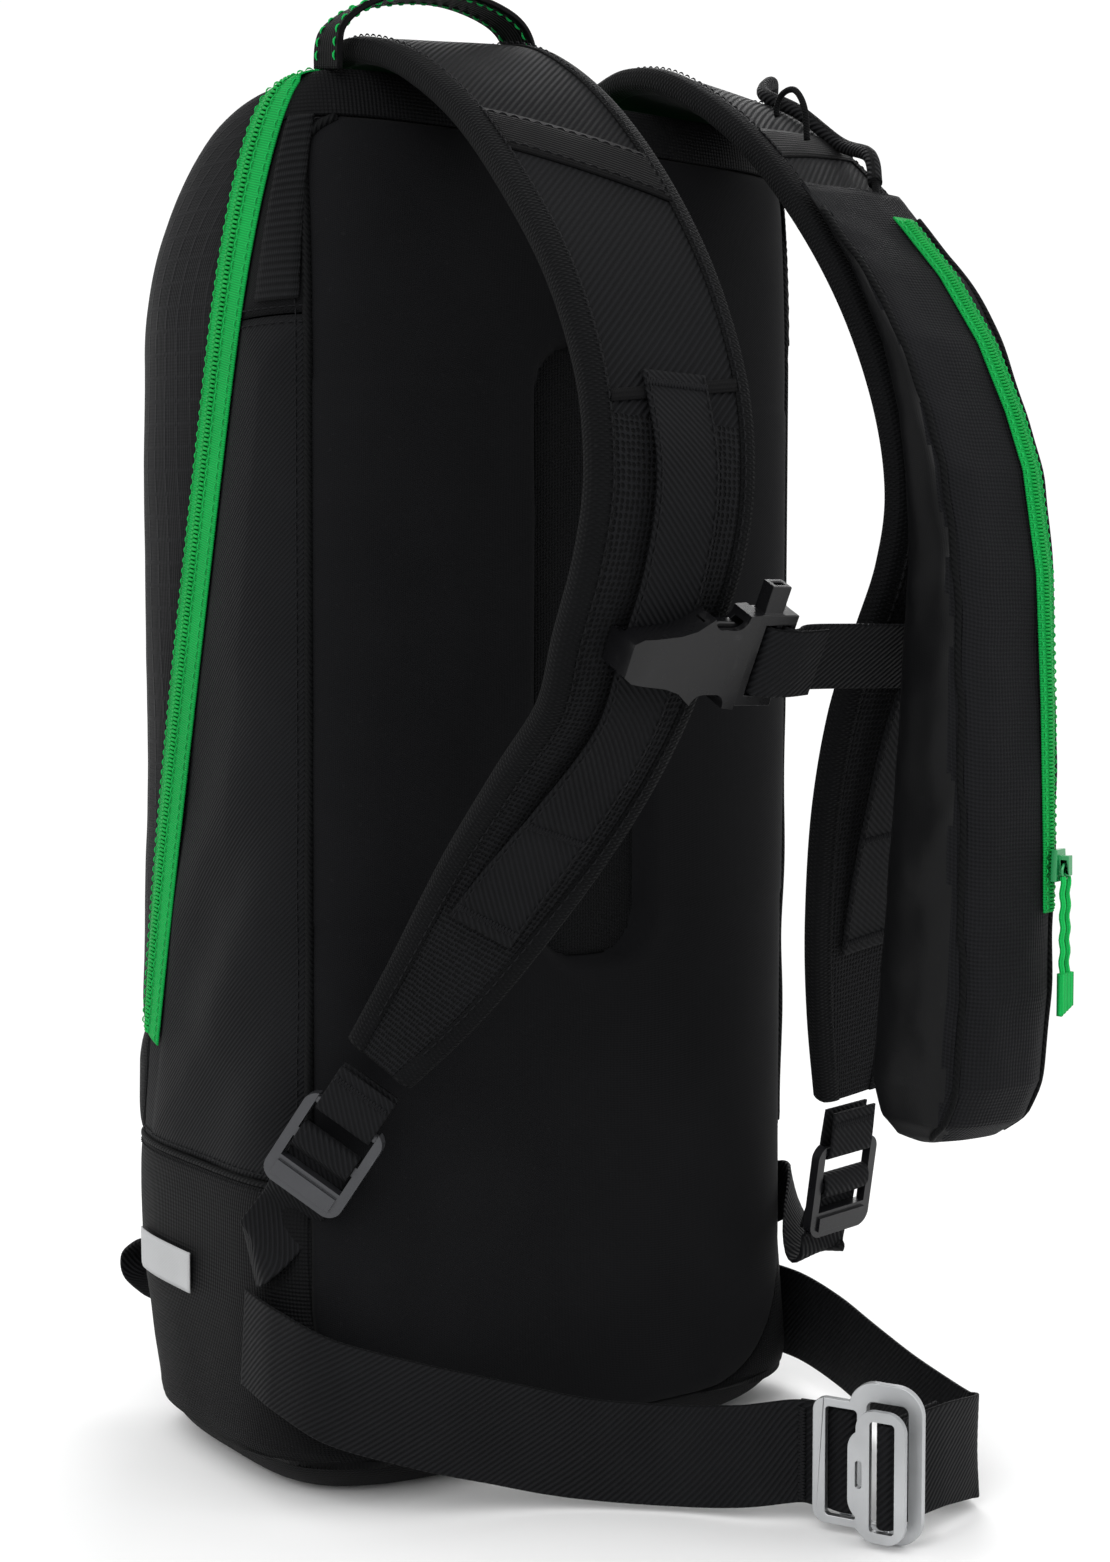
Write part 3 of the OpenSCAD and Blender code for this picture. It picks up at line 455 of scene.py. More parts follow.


# In each fabric row the last number is thread: how dark the gaps between threads are painted, as shade.
M = {
    "softshell": fabric("softshell", (0.0040, 0.0041, 0.0047), "plain", 0.7, 0.12, 0.78, 0.3, 0.35, 0.8),
    "side": fabric("side_cloth", (0.0051, 0.0053, 0.0060), "twill", 1.1, 0.22, 0.66, 0.22, 0.4, 0.7),
    "stretch": fabric("stretch_cloth", (0.0034, 0.0035, 0.0040), "knit", 0.9, 0.2, 0.7, 0.25, 0.3, 0.75),
    "front": fabric("front_ripstop", (0.0063, 0.0065, 0.0072), "ripstop", 1.3, 0.3, 0.6, 0.2, 0.4, 0.6),
    "base": fabric("base_cloth", (0.0031, 0.0032, 0.0036), "plain", 1.5, 0.3, 0.62, 0.2, 0.4, 0.6),
    "mesh": fabric("spacer_mesh", (0.0056, 0.0058, 0.0066), "mesh", 2.1, 0.4, 0.72, 0.3, 0.3, 0.25),
    "spine": fabric("spine_mesh", (0.0043, 0.0045, 0.0050), "mesh", 1.3, 0.35, 0.75, 0.3, 0.3, 0.4),
    "ribbed": fabric("ribbed_elastic", (0.0069, 0.0072, 0.0079), "grosgrain", 2.6, 0.32, 0.7, 0.3, 0.3, 0.45),
    "cover": fabric("strap_cover", (0.0056, 0.0058, 0.0066), "twill", 1.5, 0.34, 0.68, 0.25, 0.3, 0.35),
    "band": fabric("strap_band", (0.0022, 0.0022, 0.0025), "rib", 1.6, 0.14, 0.6, 0.15, 0.3, 0.75),
    "binding": fabric("knit_binding", (0.0033, 0.0035, 0.0040), "knit", 1.5, 0.3, 0.72, 0.35, 0.3, 0.55),
    "webbing": fabric("webbing", (0.0060, 0.0062, 0.0070), "twill", 1.3, 0.3, 0.6, 0.2, 0.35, 0.4),
    "tape": fabric("zip_tape", (0.004, 0.30, 0.055), "grosgrain", 0.9, 0.25, 0.6, 0.25, 0.3, 0.6,
                   fuzz=0.00003),
    "tape_plain": fabric("pull_webbing", (0.008, 0.42, 0.08), "rib", 1.1, 0.3, 0.55, 0.3, 0.3, 0.6),
    "coated": fabric("coated_cloth", (0.0022, 0.0023, 0.0026), "plain", 0.8, 0.08, 0.42, 0.08, 0.35, 0.9,
                     coat=0.15),
    "pocket": fabric("pocket_oxford", (0.0067, 0.0069, 0.0079), "plain", 1.4, 0.32, 0.66, 0.25, 0.35, 0.5),
    "piping": fabric("piping", (0.0026, 0.0028, 0.0031), "twill", 1.2, 0.25, 0.6, 0.2, 0.3, 0.7),
    "cord": fabric("cord_sheath", (0.0026, 0.0028, 0.0031), "knit", 0.9, 0.3, 0.6, 0.2, 0.3, 0.6),
    "airbag": fabric("airbag_nylon", (0.72, 0.17, 0.03), "ripstop", 0.9, 0.25, 0.5, 0.2, 0.35, 0.75),
    "sleeve": fabric("sleeve_cloth", (0.16, 0.165, 0.175), "ripstop", 1.1, 0.25, 0.6, 0.2, 0.4, 0.75),
    "reflective": fabric("reflective_print", (0.36, 0.365, 0.37), "plain", 0.6, 0.1, 0.42, 0.0, 0.3, 0.9),
    "gloss_black": moulded("gloss_black_acetal", (0.003, 0.003, 0.0035), 0.24, 300, 0.00002, coat=0.12,
                           specular=0.22),
    "lock_grey": moulded("gunmetal_lock", (0.040, 0.041, 0.045), 0.30, 500, 0.00004, coat=0.2, metallic=0.6),
    "lock_black": moulded("satin_black_lock", (0.005, 0.005, 0.006), 0.28, 500, 0.00004, coat=0.15,
                          specular=0.25),
    "head": moulded("inflator_housing", (0.05, 0.053, 0.06), 0.42, 600, 0.00008),
    "sheet": moulded("hdpe_sheet", (0.06, 0.064, 0.072), 0.5, 260, 0.00015),
    "red": moulded("handle_red", (0.55, 0.035, 0.03), 0.38, 500, 0.00008),
    "slider": moulded("slider_enamel", (0.01, 0.24, 0.07), 0.24, 200, 0.00002, coat=0.5, metallic=0.3),
    "tooth": moulded("zip_coil", (0.003, 0.27, 0.045), 0.5, 900, 0.00003, specular=0.12),
    "plate": metal("satin_alloy", (0.50, 0.51, 0.52), 0.42, (40, 1, 1)),
    "bar": metal("bright_steel", (0.55, 0.56, 0.57), 0.2, (1, 1, 30)),
    "stay": metal("mill_alloy", (0.68, 0.69, 0.70), 0.36, (1, 1, 0.04)),
    "cylinder": moulded("cylinder_paint", (0.56, 0.13, 0.035), 0.26, 180, 0.00003, coat=0.6),
    "thread": fabric("black_thread", (0.0087, 0.0089, 0.0100), "twill", 0.3, 0.3, 0.55, 0.3, 0.2, 0.7),
    "green_thread": fabric("green_thread", (0.01, 0.45, 0.09), "twill", 0.3, 0.3, 0.5, 0.3, 0.2, 0.7),
}


def place(obj, body, slot, *nodes):
    """Sets a finished piece down on its body and hides the CAD nodes it stands for; slot, which names the
    finish it takes, is not used.
    """
    if nodes:
        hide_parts(*nodes)
    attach(obj, body)
    return obj


def cloth(name, grid, thickness, material, outward, body, slot, *nodes):
    """A sheet piece from a grid of points in millimetres, set down on its body."""
    obj = sheet_solid(name, grid * MM, thickness * MM, material, outward)
    fix_normals(obj)
    return place(obj, body, slot, *nodes)


# ---------------------------------------------------------------- the bag's form, in millimetres

BACK_Y = -86
TOP_Y = -46
ZIP_END_Z = 163


def front_at(z):
    return 108 - np.interp(z, [0, 24, 70, 125, 200, 290, 440], [34, 27, 5, 0, 9, 19, 25])


def station(z):
    """Half width, back and front of the bag at a height."""
    z = np.asarray(z, float)
    low = 24 * np.sqrt(np.maximum(0, 1 - ((24 - np.minimum(z, 24)) / 24) ** 2))
    f = np.sqrt(np.maximum(0, 1 - (np.maximum(z - 432, 0) / 98) ** 2))
    base = z < 24
    half = np.where(base, 101 + low, np.where(z > 432, 96 + 29 * np.sqrt(f), 125.0))
    back = np.where(base, -62 - low, np.where(z > 432, BACK_Y + 12 * (1 - f), BACK_Y))
    crown = TOP_Y + (front_at(432) - TOP_Y) * f
    front = np.where(base, front_at(24) - 24 + low, np.where(z > 432, crown, front_at(z)))
    return half, back, front


def on_ring(z, q):
    """A point of the bag's skin: q in degrees, 0 at +X, 90 at the front, 270 at the back."""
    half, back, front = station(z)
    c, s = np.cos(np.radians(q)), np.sin(np.radians(q))
    e = np.where(s > 0, 2 / 3.3, 2 / 4.4)
    x = half * np.sign(c) * np.abs(c) ** e
    y = (back + front) / 2 + (front - back) / 2 * np.sign(s) * np.abs(s) ** e
    return np.stack([x, y, np.broadcast_to(z, x.shape)], axis=-1)


def back_angle(z, x):
    """Degrees from the -X side round to where the back reaches -x."""
    half = station(z)[0]
    return np.degrees(np.arccos(np.clip(abs(x) / half, 0, 1) ** 2.2))


def zip_y(z):
    return 18 - 0.27 * (z - 290)


def plane_angle(z, y):
    """Degrees from +X to where the +X side of the ring crosses y."""
    _, back, front = station(z)
    v = (y - (back + front) / 2) / ((front - back) / 2)
    e = 3.3 if v > 0 else 4.4
    return math.degrees(math.asin(min(1, abs(v)) ** (e / 2))) * (1 if v > 0 else -1)


def zip_angle(z):
    return plane_angle(z, zip_y(z))


def outline_half(z):
    """Half width of the padded back's outline."""
    if z < 74:
        return 55 + math.sqrt(max(0, 58 ** 2 - (74 - z) ** 2))
    if z > 498:
        return 99 + math.sqrt(max(0, 14 ** 2 - (z - 498) ** 2))
    return 113


def ring_row(z, start, end, count):
    """Points an even step apart round the bag at one height."""
    p = on_ring(z, np.linspace(start, end, 900))
    s = lengths(p)
    t = np.linspace(0, s[-1], count)
    return sampled(t, s, p)


def heights(low, high, step=3.0):
    """Heights an even step apart along the bag's front profile."""
    dome = 432 + 98 * np.sin(np.radians(np.linspace(0, 90, 200)))
    foot = 24 - 24 * np.sin(np.radians(np.linspace(90, 0, 60)))
    z = np.unique(np.clip(np.concatenate([foot, np.linspace(24, 432, 400), dome]), low, high))
    half, _, front = station(z)
    s = lengths(np.stack([half, front, z], axis=1))
    n = max(2, int(s[-1] / step) + 1)
    return np.interp(np.linspace(0, s[-1], n), s, z)


def bag_grid(zs, start, end, count):
    return np.array([ring_row(z, start(z), end(z), count) for z in zs])


def outward_normals(grid):
    n = grid_normals(grid)
    middle = np.array([0, 0, 0]) + np.array([0, 0, 1]) * np.clip(grid[..., 2:3], 60, 420)
    return -n if np.sum(n * (grid - middle)) < 0 else n


def edge_distances(grid):
    """How far each point is from the first row, last row, first column and last column."""
    rows = np.concatenate([np.zeros((1, grid.shape[1])),
                           np.cumsum(np.linalg.norm(np.diff(grid, axis=0), axis=2), axis=0)])
    cols = np.concatenate([np.zeros((grid.shape[0], 1)),
                           np.cumsum(np.linalg.norm(np.diff(grid, axis=1), axis=2), axis=1)], axis=1)
    return rows, rows[-1:] - rows, cols, cols[:, -1:] - cols


def puffed(grid, high, width=26, pinch=0.9, margins=(0, 0, 0, 0), folds=()):
    """A panel that swells between its seams.

    margins keep a strip along each edge flat, and None leaves that edge free.
    """
    d = np.full(grid.shape[:2], 1e3)
    for away, margin in zip(edge_distances(grid), margins):
        if margin is not None:
            d = np.minimum(d, away - margin)
    inside = np.maximum(d, 0)
    rise = high * (1 - np.exp(-inside / width)) - pinch * np.exp(-np.maximum(d, 0) / 2.2)
    for scale, size, seed, stretch in folds:
        rise = rise + size * wrinkle(grid, scale, seed, stretch) * (1 - np.exp(-inside / 14))
    return grid + outward_normals(grid) * rise[..., None]


def inset_path(grid, edge, distance):
    """(points, normals) along a line a distance in from one edge: first or last, row or column."""
    n = outward_normals(grid)
    both = np.concatenate([grid, n], axis=2)
    if edge in ("first_row", "last_row"):
        both = both.transpose(1, 0, 2)
    if edge in ("last_row", "last_col"):
        both = both[:, ::-1]
    out = []
    for line in both:
        s = lengths(line[:, :3])
        out.append(sampled(min(distance, s[-1]), s, line))
    out = np.array(out)
    return out[:, :3], unit(out[:, 3:])


def panel(name, grid, material, thickness, body, slot, *nodes):
    middle = np.array([0, 0, 1]) * np.clip(grid[..., 2:3], 60, 420)
    return cloth(name, grid, thickness, material, grid - middle, body, slot, *nodes)


def seam_thread(name, path, body, slot, material=None, **sizes):
    """Stitching along a path of (points, normals) in millimetres."""
    points, normals = path
    obj = stitches(name, points * MM, normals, material or M["thread"], **sizes)
    return place(obj, body, slot)


def piping(name, path, radius, lift, body, slot, material=None):
    points, normals = path
    line = resample((points + normals * lift) * MM, 0.003)
    obj = tube(name, line, radius * MM, material or M["piping"], 10)
    return place(obj, body, slot)


def on_back(x_half):
    return lambda z: 180 + back_angle(z, x_half(z))


# ---------------------------------------------------------------- bag panels

left_outline = on_back(outline_half)


def right_outline(z):
    return -back_angle(z, outline_half(z))


back = bag_grid(heights(16.2, 511.8, 2.4), left_outline, lambda z: 360 + right_outline(z), 96)
recess = np.minimum(25 - np.abs(back[..., 0]), np.minimum(back[..., 2] - 199, 436 - back[..., 2]))
recess = np.clip(recess, -9, 9)
corner = np.hypot(np.maximum(np.abs(back[..., 0]) - 5, 0),
                  np.maximum(np.maximum(219 - back[..., 2], back[..., 2] - 416), 0))
recess = np.where((back[..., 2] < 219) | (back[..., 2] > 416), 20 - corner, recess)
back_folds = [(70, 0.7, 1, (1, 1, 1)), (26, 0.25, 2, (1, 1, 1.6))]
back_skin = puffed(back, 3.2, 20, 1.0, folds=back_folds)
sink = smoothstep(-3.5, 2.0, recess)
back_skin = back_skin + outward_normals(back) * (-(4.6 + 3.0) * sink)[..., None]
swell = np.exp(-((recess + 7) / 5.0) ** 2) * (recess < 2)
back_skin = back_skin + outward_normals(back) * (0.7 * swell)[..., None]
back_pad = panel("back_padding", back_skin, M["softshell"], 3, "pack", "foam_laminate", "back_panel")

channel_z = np.linspace(200.5, 434.5, 96)


def channel_reach(z):
    bend = max(0, 219 - z, z - 416)
    return 5 + math.sqrt(max(0.0, 19.3 ** 2 - bend ** 2))


channel = bag_grid(channel_z, lambda z: 180 + back_angle(z, channel_reach(z)),
                   lambda z: 360 - back_angle(z, channel_reach(z)), 24)
channel_skin = channel - outward_normals(channel) * 4.1
channel_skin = channel_skin + outward_normals(channel) * (
    1.1 * (1 - (channel[..., 0] / 25) ** 2) + 0.25 * wrinkle(channel, 22, 5))[..., None]
panel("spine_mesh_lining", channel_skin, M["spine"], 1.6, "pack", "spine_mesh", "spine_channel")

GUSSET_FOLDS = [(60, 0.9, 14, (1, 1, 1)), (24, 0.3, 15, (1, 1, 1))]
SIDE_FOLDS = [(95, 1.5, 11, (1, 1.0, 0.55)), (38, 0.8, 12, (1, 0.7, 1.3)), (16, 0.22, 13, (1, 1, 1))]


def diagonal_folds(grid, side, size):
    """Soft pull lines that run down and forwards on the lower side."""
    y, z = grid[..., 1], grid[..., 2]
    wave = np.sin((z + 1.1 * y + 6 * wrinkle(grid, 60, 31 + side)) / 11.5)
    zone = np.exp(-((z - 205) / 75) ** 2) * np.exp(-((y + 20) / 46) ** 2)
    return wave * zone * size


for side, tag in ((-1, "left"), (1, "right")):
    if side < 0:
        edge, front_edge = left_outline, (lambda z: 180 - zip_angle(z))
    else:
        edge, front_edge = right_outline, zip_angle
    lower = bag_grid(heights(119.4, 440.6, 2.6), edge, front_edge, 60)
    lower_skin = puffed(lower, 3.4, 24, 0.9, (0, 0, 0, 15), SIDE_FOLDS)
    lower_skin = lower_skin + outward_normals(lower) * diagonal_folds(lower, side, 1.5)[..., None]
    panel("side_cloth_" + tag, lower_skin, M["side"], 2.4, "pack", "base_patch", "side_panel_" + tag)
    seam_thread("side_seam_" + tag, inset_path(lower_skin, "first_row", 3.2), "pack", "base_patch")
    seam_thread("side_top_seam_" + tag, inset_path(lower_skin, "last_row", 3.0), "pack", "base_patch")
    upper = bag_grid(heights(441.2, 511.6, 2.4), edge, front_edge, 60)
    upper_skin = puffed(upper, 2.2, 20, 0.8, (0, 0, 0, 15), GUSSET_FOLDS)
    panel("stretch_gusset_" + tag, upper_skin, M["stretch"], 2.4, "pack", "stretch", "upper_gusset_" + tag)
    seam_thread("gusset_seam_" + tag, inset_path(upper_skin, "first_row", 2.6), "pack", "stretch")
    both = np.concatenate([lower_skin, upper_skin])
    piping("back_piping_" + tag, inset_path(both, "first_col", 0.6), 1.7, 0.6, "pack", "foam_laminate")
    seam_thread("back_edge_stitch_" + tag, inset_path(both, "first_col", 5.0), "pack", "foam_laminate")

top_rows = bag_grid(heights(512.2, 529.95, 2.0), lambda z: 180 - zip_angle(z),
                    lambda z: 360 + zip_angle(z), 120)
last = top_rows[-1]
ridge = np.stack([np.linspace(last[0, 0], last[-1, 0], 120), np.linspace(last[0, 1], last[-1, 1], 120),
                  np.full(120, 530.0)], axis=1)
cap_rows = np.array([last + (ridge - last) * t for t in np.linspace(0.08, 1, 12)])
top_skin = np.concatenate([top_rows, cap_rows])
top_skin = top_skin + np.array([0, 0, 1]) * (0.5 * wrinkle(top_skin, 28, 21))[..., None]
panel("top_cloth", top_skin, M["base"], 2.4, "pack", "base_patch", "top_panel")

wrap = bag_grid(heights(16, 118.6, 2.6)[::-1], left_outline, right_outline, 190)
wrap_skin = puffed(wrap, 2.4, 20, 0.8, (0, None, 0, 0), [(55, 0.8, 41, (1, 1, 1)), (20, 0.25, 42, (1, 1, 1))])
panel("base_cloth", wrap_skin, M["base"], 2.6, "pack", "base_patch", "base_wrap")
foot = bag_grid(heights(1.2, 16.6, 1.6)[::-1], lambda z: 270, lambda z: -90, 220)
foot[..., 2] = 1.2 + (foot[..., 2] - 1.2) * 1.0
floor_rows = np.array([foot[-1] * np.array([s, s, 1]) for s in np.linspace(0.93, 0.02, 10)])
foot_skin = np.concatenate([foot, floor_rows])
cloth("base_underside", foot_skin, 2, M["base"], foot_skin - [0, 0, 90], "pack", "base_patch")
seam_thread("base_wrap_stitch", inset_path(wrap_skin, "first_row", 3.4), "pack", "base_patch")
piping("base_piping", inset_path(wrap_skin, "first_row", 0.3), 1.3, 0.2, "pack", "base_patch")

hinge = bag_grid(heights(119.3, 162.8, 2.6), lambda z: 180 - zip_angle(z), zip_angle, 150)
hinge_skin = puffed(hinge, 2.6, 16, 0.8, (0, 0, 0, 0), [(50, 0.8, 51, (1, 1, 1)), (18, 0.25, 52, (1, 1, 1))])
panel("front_hinge_cloth", hinge_skin, M["base"], 2.4, "pack", "base_patch", "front_hinge_panel")

door = bag_grid(heights(163.3, 529.9, 2.8), lambda z: 180 - zip_angle(z), zip_angle, 150)
DOOR_FOLDS = [(110, 1.8, 61, (1, 1, 0.7)), (42, 0.9, 62, (1, 1, 1)), (17, 0.22, 63, (1, 1, 1))]
door_skin = puffed(door, 5.0, 34, 0.8, (0, None, 8, 8), DOOR_FOLDS)
panel("front_cloth", door_skin, M["front"], 2.4, "front_door", "ripstop", "front_panel")
for share, tag in ((0.30, "left"), (0.70, "right")):
    column = int(share * 149)
    line = door_skin[:120, column]
    normals = outward_normals(door_skin)[:120, column]
    piping("front_seam_" + tag, (line, normals), 1.1, 0.3, "front_door", "ripstop")
    shifted = door_skin[:120, column + 2 if share < 0.5 else column - 2]
    seam_thread("front_seam_stitch_" + tag, (shifted, normals), "front_door", "ripstop")


# ---------------------------------------------------------------- main zip

def skin_gap(p):
    """Superellipse value of each point: 0 on the skin, above 0 outside."""
    half, back_, front_ = station(np.clip(p[..., 2], 0, 529.95))
    v = (p[..., 1] - (back_ + front_) / 2) / ((front_ - back_) / 2)
    e = np.where(v > 0, 3.3, 4.4)
    return np.abs(p[..., 0] / half) ** e + np.abs(v) ** e - 1


def onto_skin(p, rounds=4):
    """Moves points to the bag's skin along its slope."""
    p = p.copy()
    for _ in range(rounds):
        f = skin_gap(p)
        slope = np.stack([(skin_gap(p + d) - skin_gap(p - d)) / 0.4
                          for d in np.eye(3) * 0.2], axis=-1)
        step = f / np.maximum(np.sum(slope * slope, axis=-1), 1e-9)
        move = slope * step[..., None]
        size = np.linalg.norm(move, axis=-1, keepdims=True)
        p = p - move * np.minimum(1, 3 / np.maximum(size, 1e-9))
        p[..., 2] = np.minimum(p[..., 2], 530)
    return p


def skin_normal(p):
    inner = p.copy()
    inner[..., 2] = np.clip(inner[..., 2], 1, 528)
    slope = np.stack([skin_gap(inner + d) - skin_gap(inner - d) for d in np.eye(3) * 0.5], axis=-1)
    return unit(slope)


zip_z = heights(ZIP_END_Z + 0.4, 529.9, 1.2)
zip_side = np.array([on_ring(z, 180 - zip_angle(z)) for z in zip_z])
over_top = np.stack([np.linspace(zip_side[-1, 0], -zip_side[-1, 0], 60)[1:-1], np.full(58, zip_side[-1, 1]),
                     np.full(58, 530.0)], axis=1)
zip_path = resample(np.concatenate([zip_side, over_top, (zip_side * [-1, 1, 1])[::-1]]), 1.6)
zip_normals = skin_normal(zip_path)
flat = smoothstep(524, 529.5, zip_path[:, 2])[:, None]
zip_normals = unit(zip_normals * (1 - flat) + UP * flat)
for _ in range(12):
    zip_normals[1:-1] = unit(zip_normals[:-2] + zip_normals[2:] + zip_normals[1:-1])
zip_run = unit(np.gradient(zip_path, axis=0))
zip_across = unit(np.cross(zip_normals, zip_run))
if np.sum(zip_across[:, 1]) > 0:
    zip_across = -zip_across
zip_normals = unit(zip_normals - np.sum(zip_normals * zip_run, axis=1, keepdims=True) * zip_run)


def zip_strip(start, end, lift, count):
    """Rows of points beside the zip: start and end are distances behind it, or in front where negative."""
    rows = []
    for k in np.linspace(start, end, count):
        p = zip_path + zip_across * k
        low = p[:, 2] < 526
        p[low] = onto_skin(p[low])
        rows.append(p + zip_normals * lift)
    return np.array(rows).transpose(1, 0, 2)


def tape_piece(name, start, end, body, *nodes):
    grid = zip_strip(start, end, 0.75, 9)
    across = np.linspace(0, 1, 9)
    grid = grid + zip_normals[:, None] * (0.25 * np.sin(across * math.pi))[None, :, None]
    outward = np.repeat(zip_normals[:, None], 9, axis=1)
    return cloth(name, grid, 0.7, M["tape"], outward, body, "zip_green", *nodes)


def zip_teeth(name, path, normals, across, start, reach, size, phase, body):
    """One side's row of coil teeth along a zip, in millimetres."""
    verts, faces = [], []
    t_all = unit(np.gradient(path, axis=0))
    s = lengths(path)
    count = int(s[-1] / size) - 1
    for i in range(count):
        at = (i + 0.5 + phase) * size
        p, n, a, t = [sampled(at, s, v) for v in (path, normals, across, t_all)]
        base = len(verts)
        for u, wide, tall, drop in ((start, 0.34, 0.5, 0.25), (start + 0.35, 0.42, 0.72, 0.0),
                                    (start + reach * 0.6, 0.36, 0.7, 0.0), (start + reach, 0.26, 0.4, -0.35)):
            for k in range(6):
                angle = math.radians(60 * k + 30)
                along, out = size * wide * math.cos(angle), drop + tall * math.sin(angle)
                verts.append(p + a * u + t * along + n * out)
        faces += prism_faces(4, 6, base)
    obj = new_object(name, np.array(verts) * MM, faces, M["tooth"])
    fix_normals(obj)
    return place(obj, body, "zip_green")


tape_piece("main_zip_tape_body", 1.0, 14.6, "pack", "main_zip_body_tape")
tape_piece("main_zip_tape_door", -1.0, -7.8, "front_door", "main_zip_door_tape")
zip_teeth("main_zip_teeth_body", zip_path + zip_normals * 1.3, zip_normals, zip_across,
          0.15, 2.6, 1.7, 0.0, "pack")
zip_teeth("main_zip_teeth_door", zip_path + zip_normals * 1.3, zip_normals, -zip_across, 0.15, 2.6, 1.7, 0.5,
          "front_door")
edge_line = zip_strip(12.6, 12.6, 1.15, 1)[:, 0]
seam_thread("main_zip_stitch", (edge_line, zip_normals), "pack", "zip_green", M["green_thread"])
edge_line = zip_strip(4.6, 4.6, 1.2, 1)[:, 0]
seam_thread("main_zip_inner_stitch", (edge_line, zip_normals), "pack", "zip_green", M["green_thread"])
edge_line = zip_strip(-6.4, -6.4, 1.15, 1)[:, 0]
seam_thread("main_zip_door_stitch", (edge_line, zip_normals), "front_door", "zip_green", M["green_thread"])


# ---------------------------------------------------------------- side trim

def side_strip(y0, y1, z, x_sign, lift, count=7):
    """A point row across the side of the bag at one height, from y0 to y1."""
    out = []
    for y in np.linspace(y0, y1, count):
        q = plane_angle(z, y)
        p = on_ring(z, q) * [x_sign, 1, 1]
        n = skin_normal(p[None])[0]
        out.append(p + n * lift)
    return np.array(out)


for side, tag in ((-1, "left"), (1, "right")):
    tz = heights(446, 512, 2.0)
    share = (tz - 445) / 68
    rows = [side_strip(-66 - 1.5 * u, -48 - 12 * u, z, side, 2.0 + 0.14 * math.sin(z * 2.4))
            for z, u in zip(tz, share)]
    grid = np.array(rows)
    cloth("ribbed_elastic_" + tag, grid, 1.0, M["ribbed"], grid - [0, 0, 470], "pack", "ribbed",
          "ribbed_tape_" + tag)

patch = np.array([side_strip(3, 53, z, -1, 4.3, 24) for z in np.linspace(67, 83, 10)])
patch_shape = np.clip(np.minimum(np.minimum(patch[..., 1] - 2, 54 - patch[..., 1]),
                                 np.minimum(patch[..., 2] - 66, 84 - patch[..., 2])), 0, 2)
patch = patch + np.array([1, 0, 0]) * (0.35 * (2 - patch_shape))[..., None]
cloth("reflective_strip", patch, 0.6, M["reflective"], patch - [0, 20, 75], "pack", "reflective",
      "reflective_patch")


# ---------------------------------------------------------------- webbing

def ribbed_section(half, thickness, pitch=3.1, depth=0.16):
    """The section of woven webbing: flat, with lengthwise ribs on both faces."""
    count = int(half * 2 / 0.62)
    x = np.linspace(-half + 0.35, half - 0.35, count)
    y = thickness / 2 - depth + depth * np.abs(np.cos(math.pi * x / pitch))
    top = np.stack([x[::-1], y[::-1]], axis=1)
    under = np.stack([x, -y], axis=1)
    left = np.array([[-half, thickness * 0.2], [-half, -thickness * 0.2]])
    right = np.array([[half, -thickness * 0.2], [half, thickness * 0.2]])
    return np.concatenate([top, left, under, right])


def webbing(name, points, widths, width, thickness, material=None, pitch=3.1, step=0.0012, depth=0.07):
    """Woven webbing along points in millimetres, its width along widths."""
    w = np.broadcast_to(np.asarray(widths, float), np.shape(points))
    data = resample(np.concatenate([np.asarray(points, float) * MM, w], axis=1), step)
    _, w, n = frames(data[:, :3], data[:, 3:])
    section = ribbed_section(width / 2, thickness, pitch, depth) * MM
    obj = section_sweep(name, data[:, :3], w, n, section, material or M["webbing"])
    return obj


def threads(name, rows, radius, material, body, slot):
    """Short single threads: rows of (start, end, outward), in millimetres."""
    verts, faces = [], []
    for a, b, n in rows:
        a, b, n = (np.asarray(v, float) for v in (a, b, n))
        t = unit(b - a)
        side = np.cross(t, n)
        base = len(verts)
        for share, rise, fat in ((0, -0.4, 0.5), (0.12, 0.35, 1), (0.88, 0.35, 1), (1, -0.4, 0.5)):
            centre = a + (b - a) * share + n * rise * radius
            for k in range(5):
                angle = 2 * math.pi * k / 5
                verts.append(centre + radius * fat * (math.cos(angle) * side + math.sin(angle) * n))
        faces += prism_faces(4, 5, base)
    obj = new_object(name, np.array(verts) * MM, faces, material)
    fix_normals(obj)
    return place(obj, body, slot)


def bar_tack(name, centre, along, across, normal, width, height, body, slot, material=None, gap=0.62):
    """A dense block of zigzag stitching across webbing."""
    rows = []
    for i, u in enumerate(np.arange(-width / 2, width / 2, gap)):
        lean = 0.25 if i % 2 else -0.25
        a = centre + across * (u - lean) - along * height / 2
        b = centre + across * (u + lean) + along * height / 2
        rows.append((a, b, normal))
    return threads(name, rows, 0.36, material or M["thread"], body, slot)


haul = catmull([(-20.5, -66, 531.3), (-20.5, -69, 546), (-32, -73, 556), (-58, -75, 560), (-86, -73, 555),
                (-102, -69, 544), (-103, -66, 529.5)], 10)
haul_obj = webbing("haul_loop_webbing", haul, (0, -1, 0), 18, 2.2, M["band"], 2.2)
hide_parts("haul_loop")
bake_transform(haul_obj)
_, hw, hn = frames(haul, (0, -1, 0))
for off, tag in ((6.4, "back"), (-6.4, "front")):
    for face in (1, -1):
        path, normals = haul + hw * off + hn * face * 1.1, hn * face
        name = "haul_stitch_%s_%d" % (tag, 1 if face > 0 else 2)
        obj = stitches(name, path * MM, normals, M["green_thread"], 0.0036, 0.0012, 0.00042, 0.0)
        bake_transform(obj)

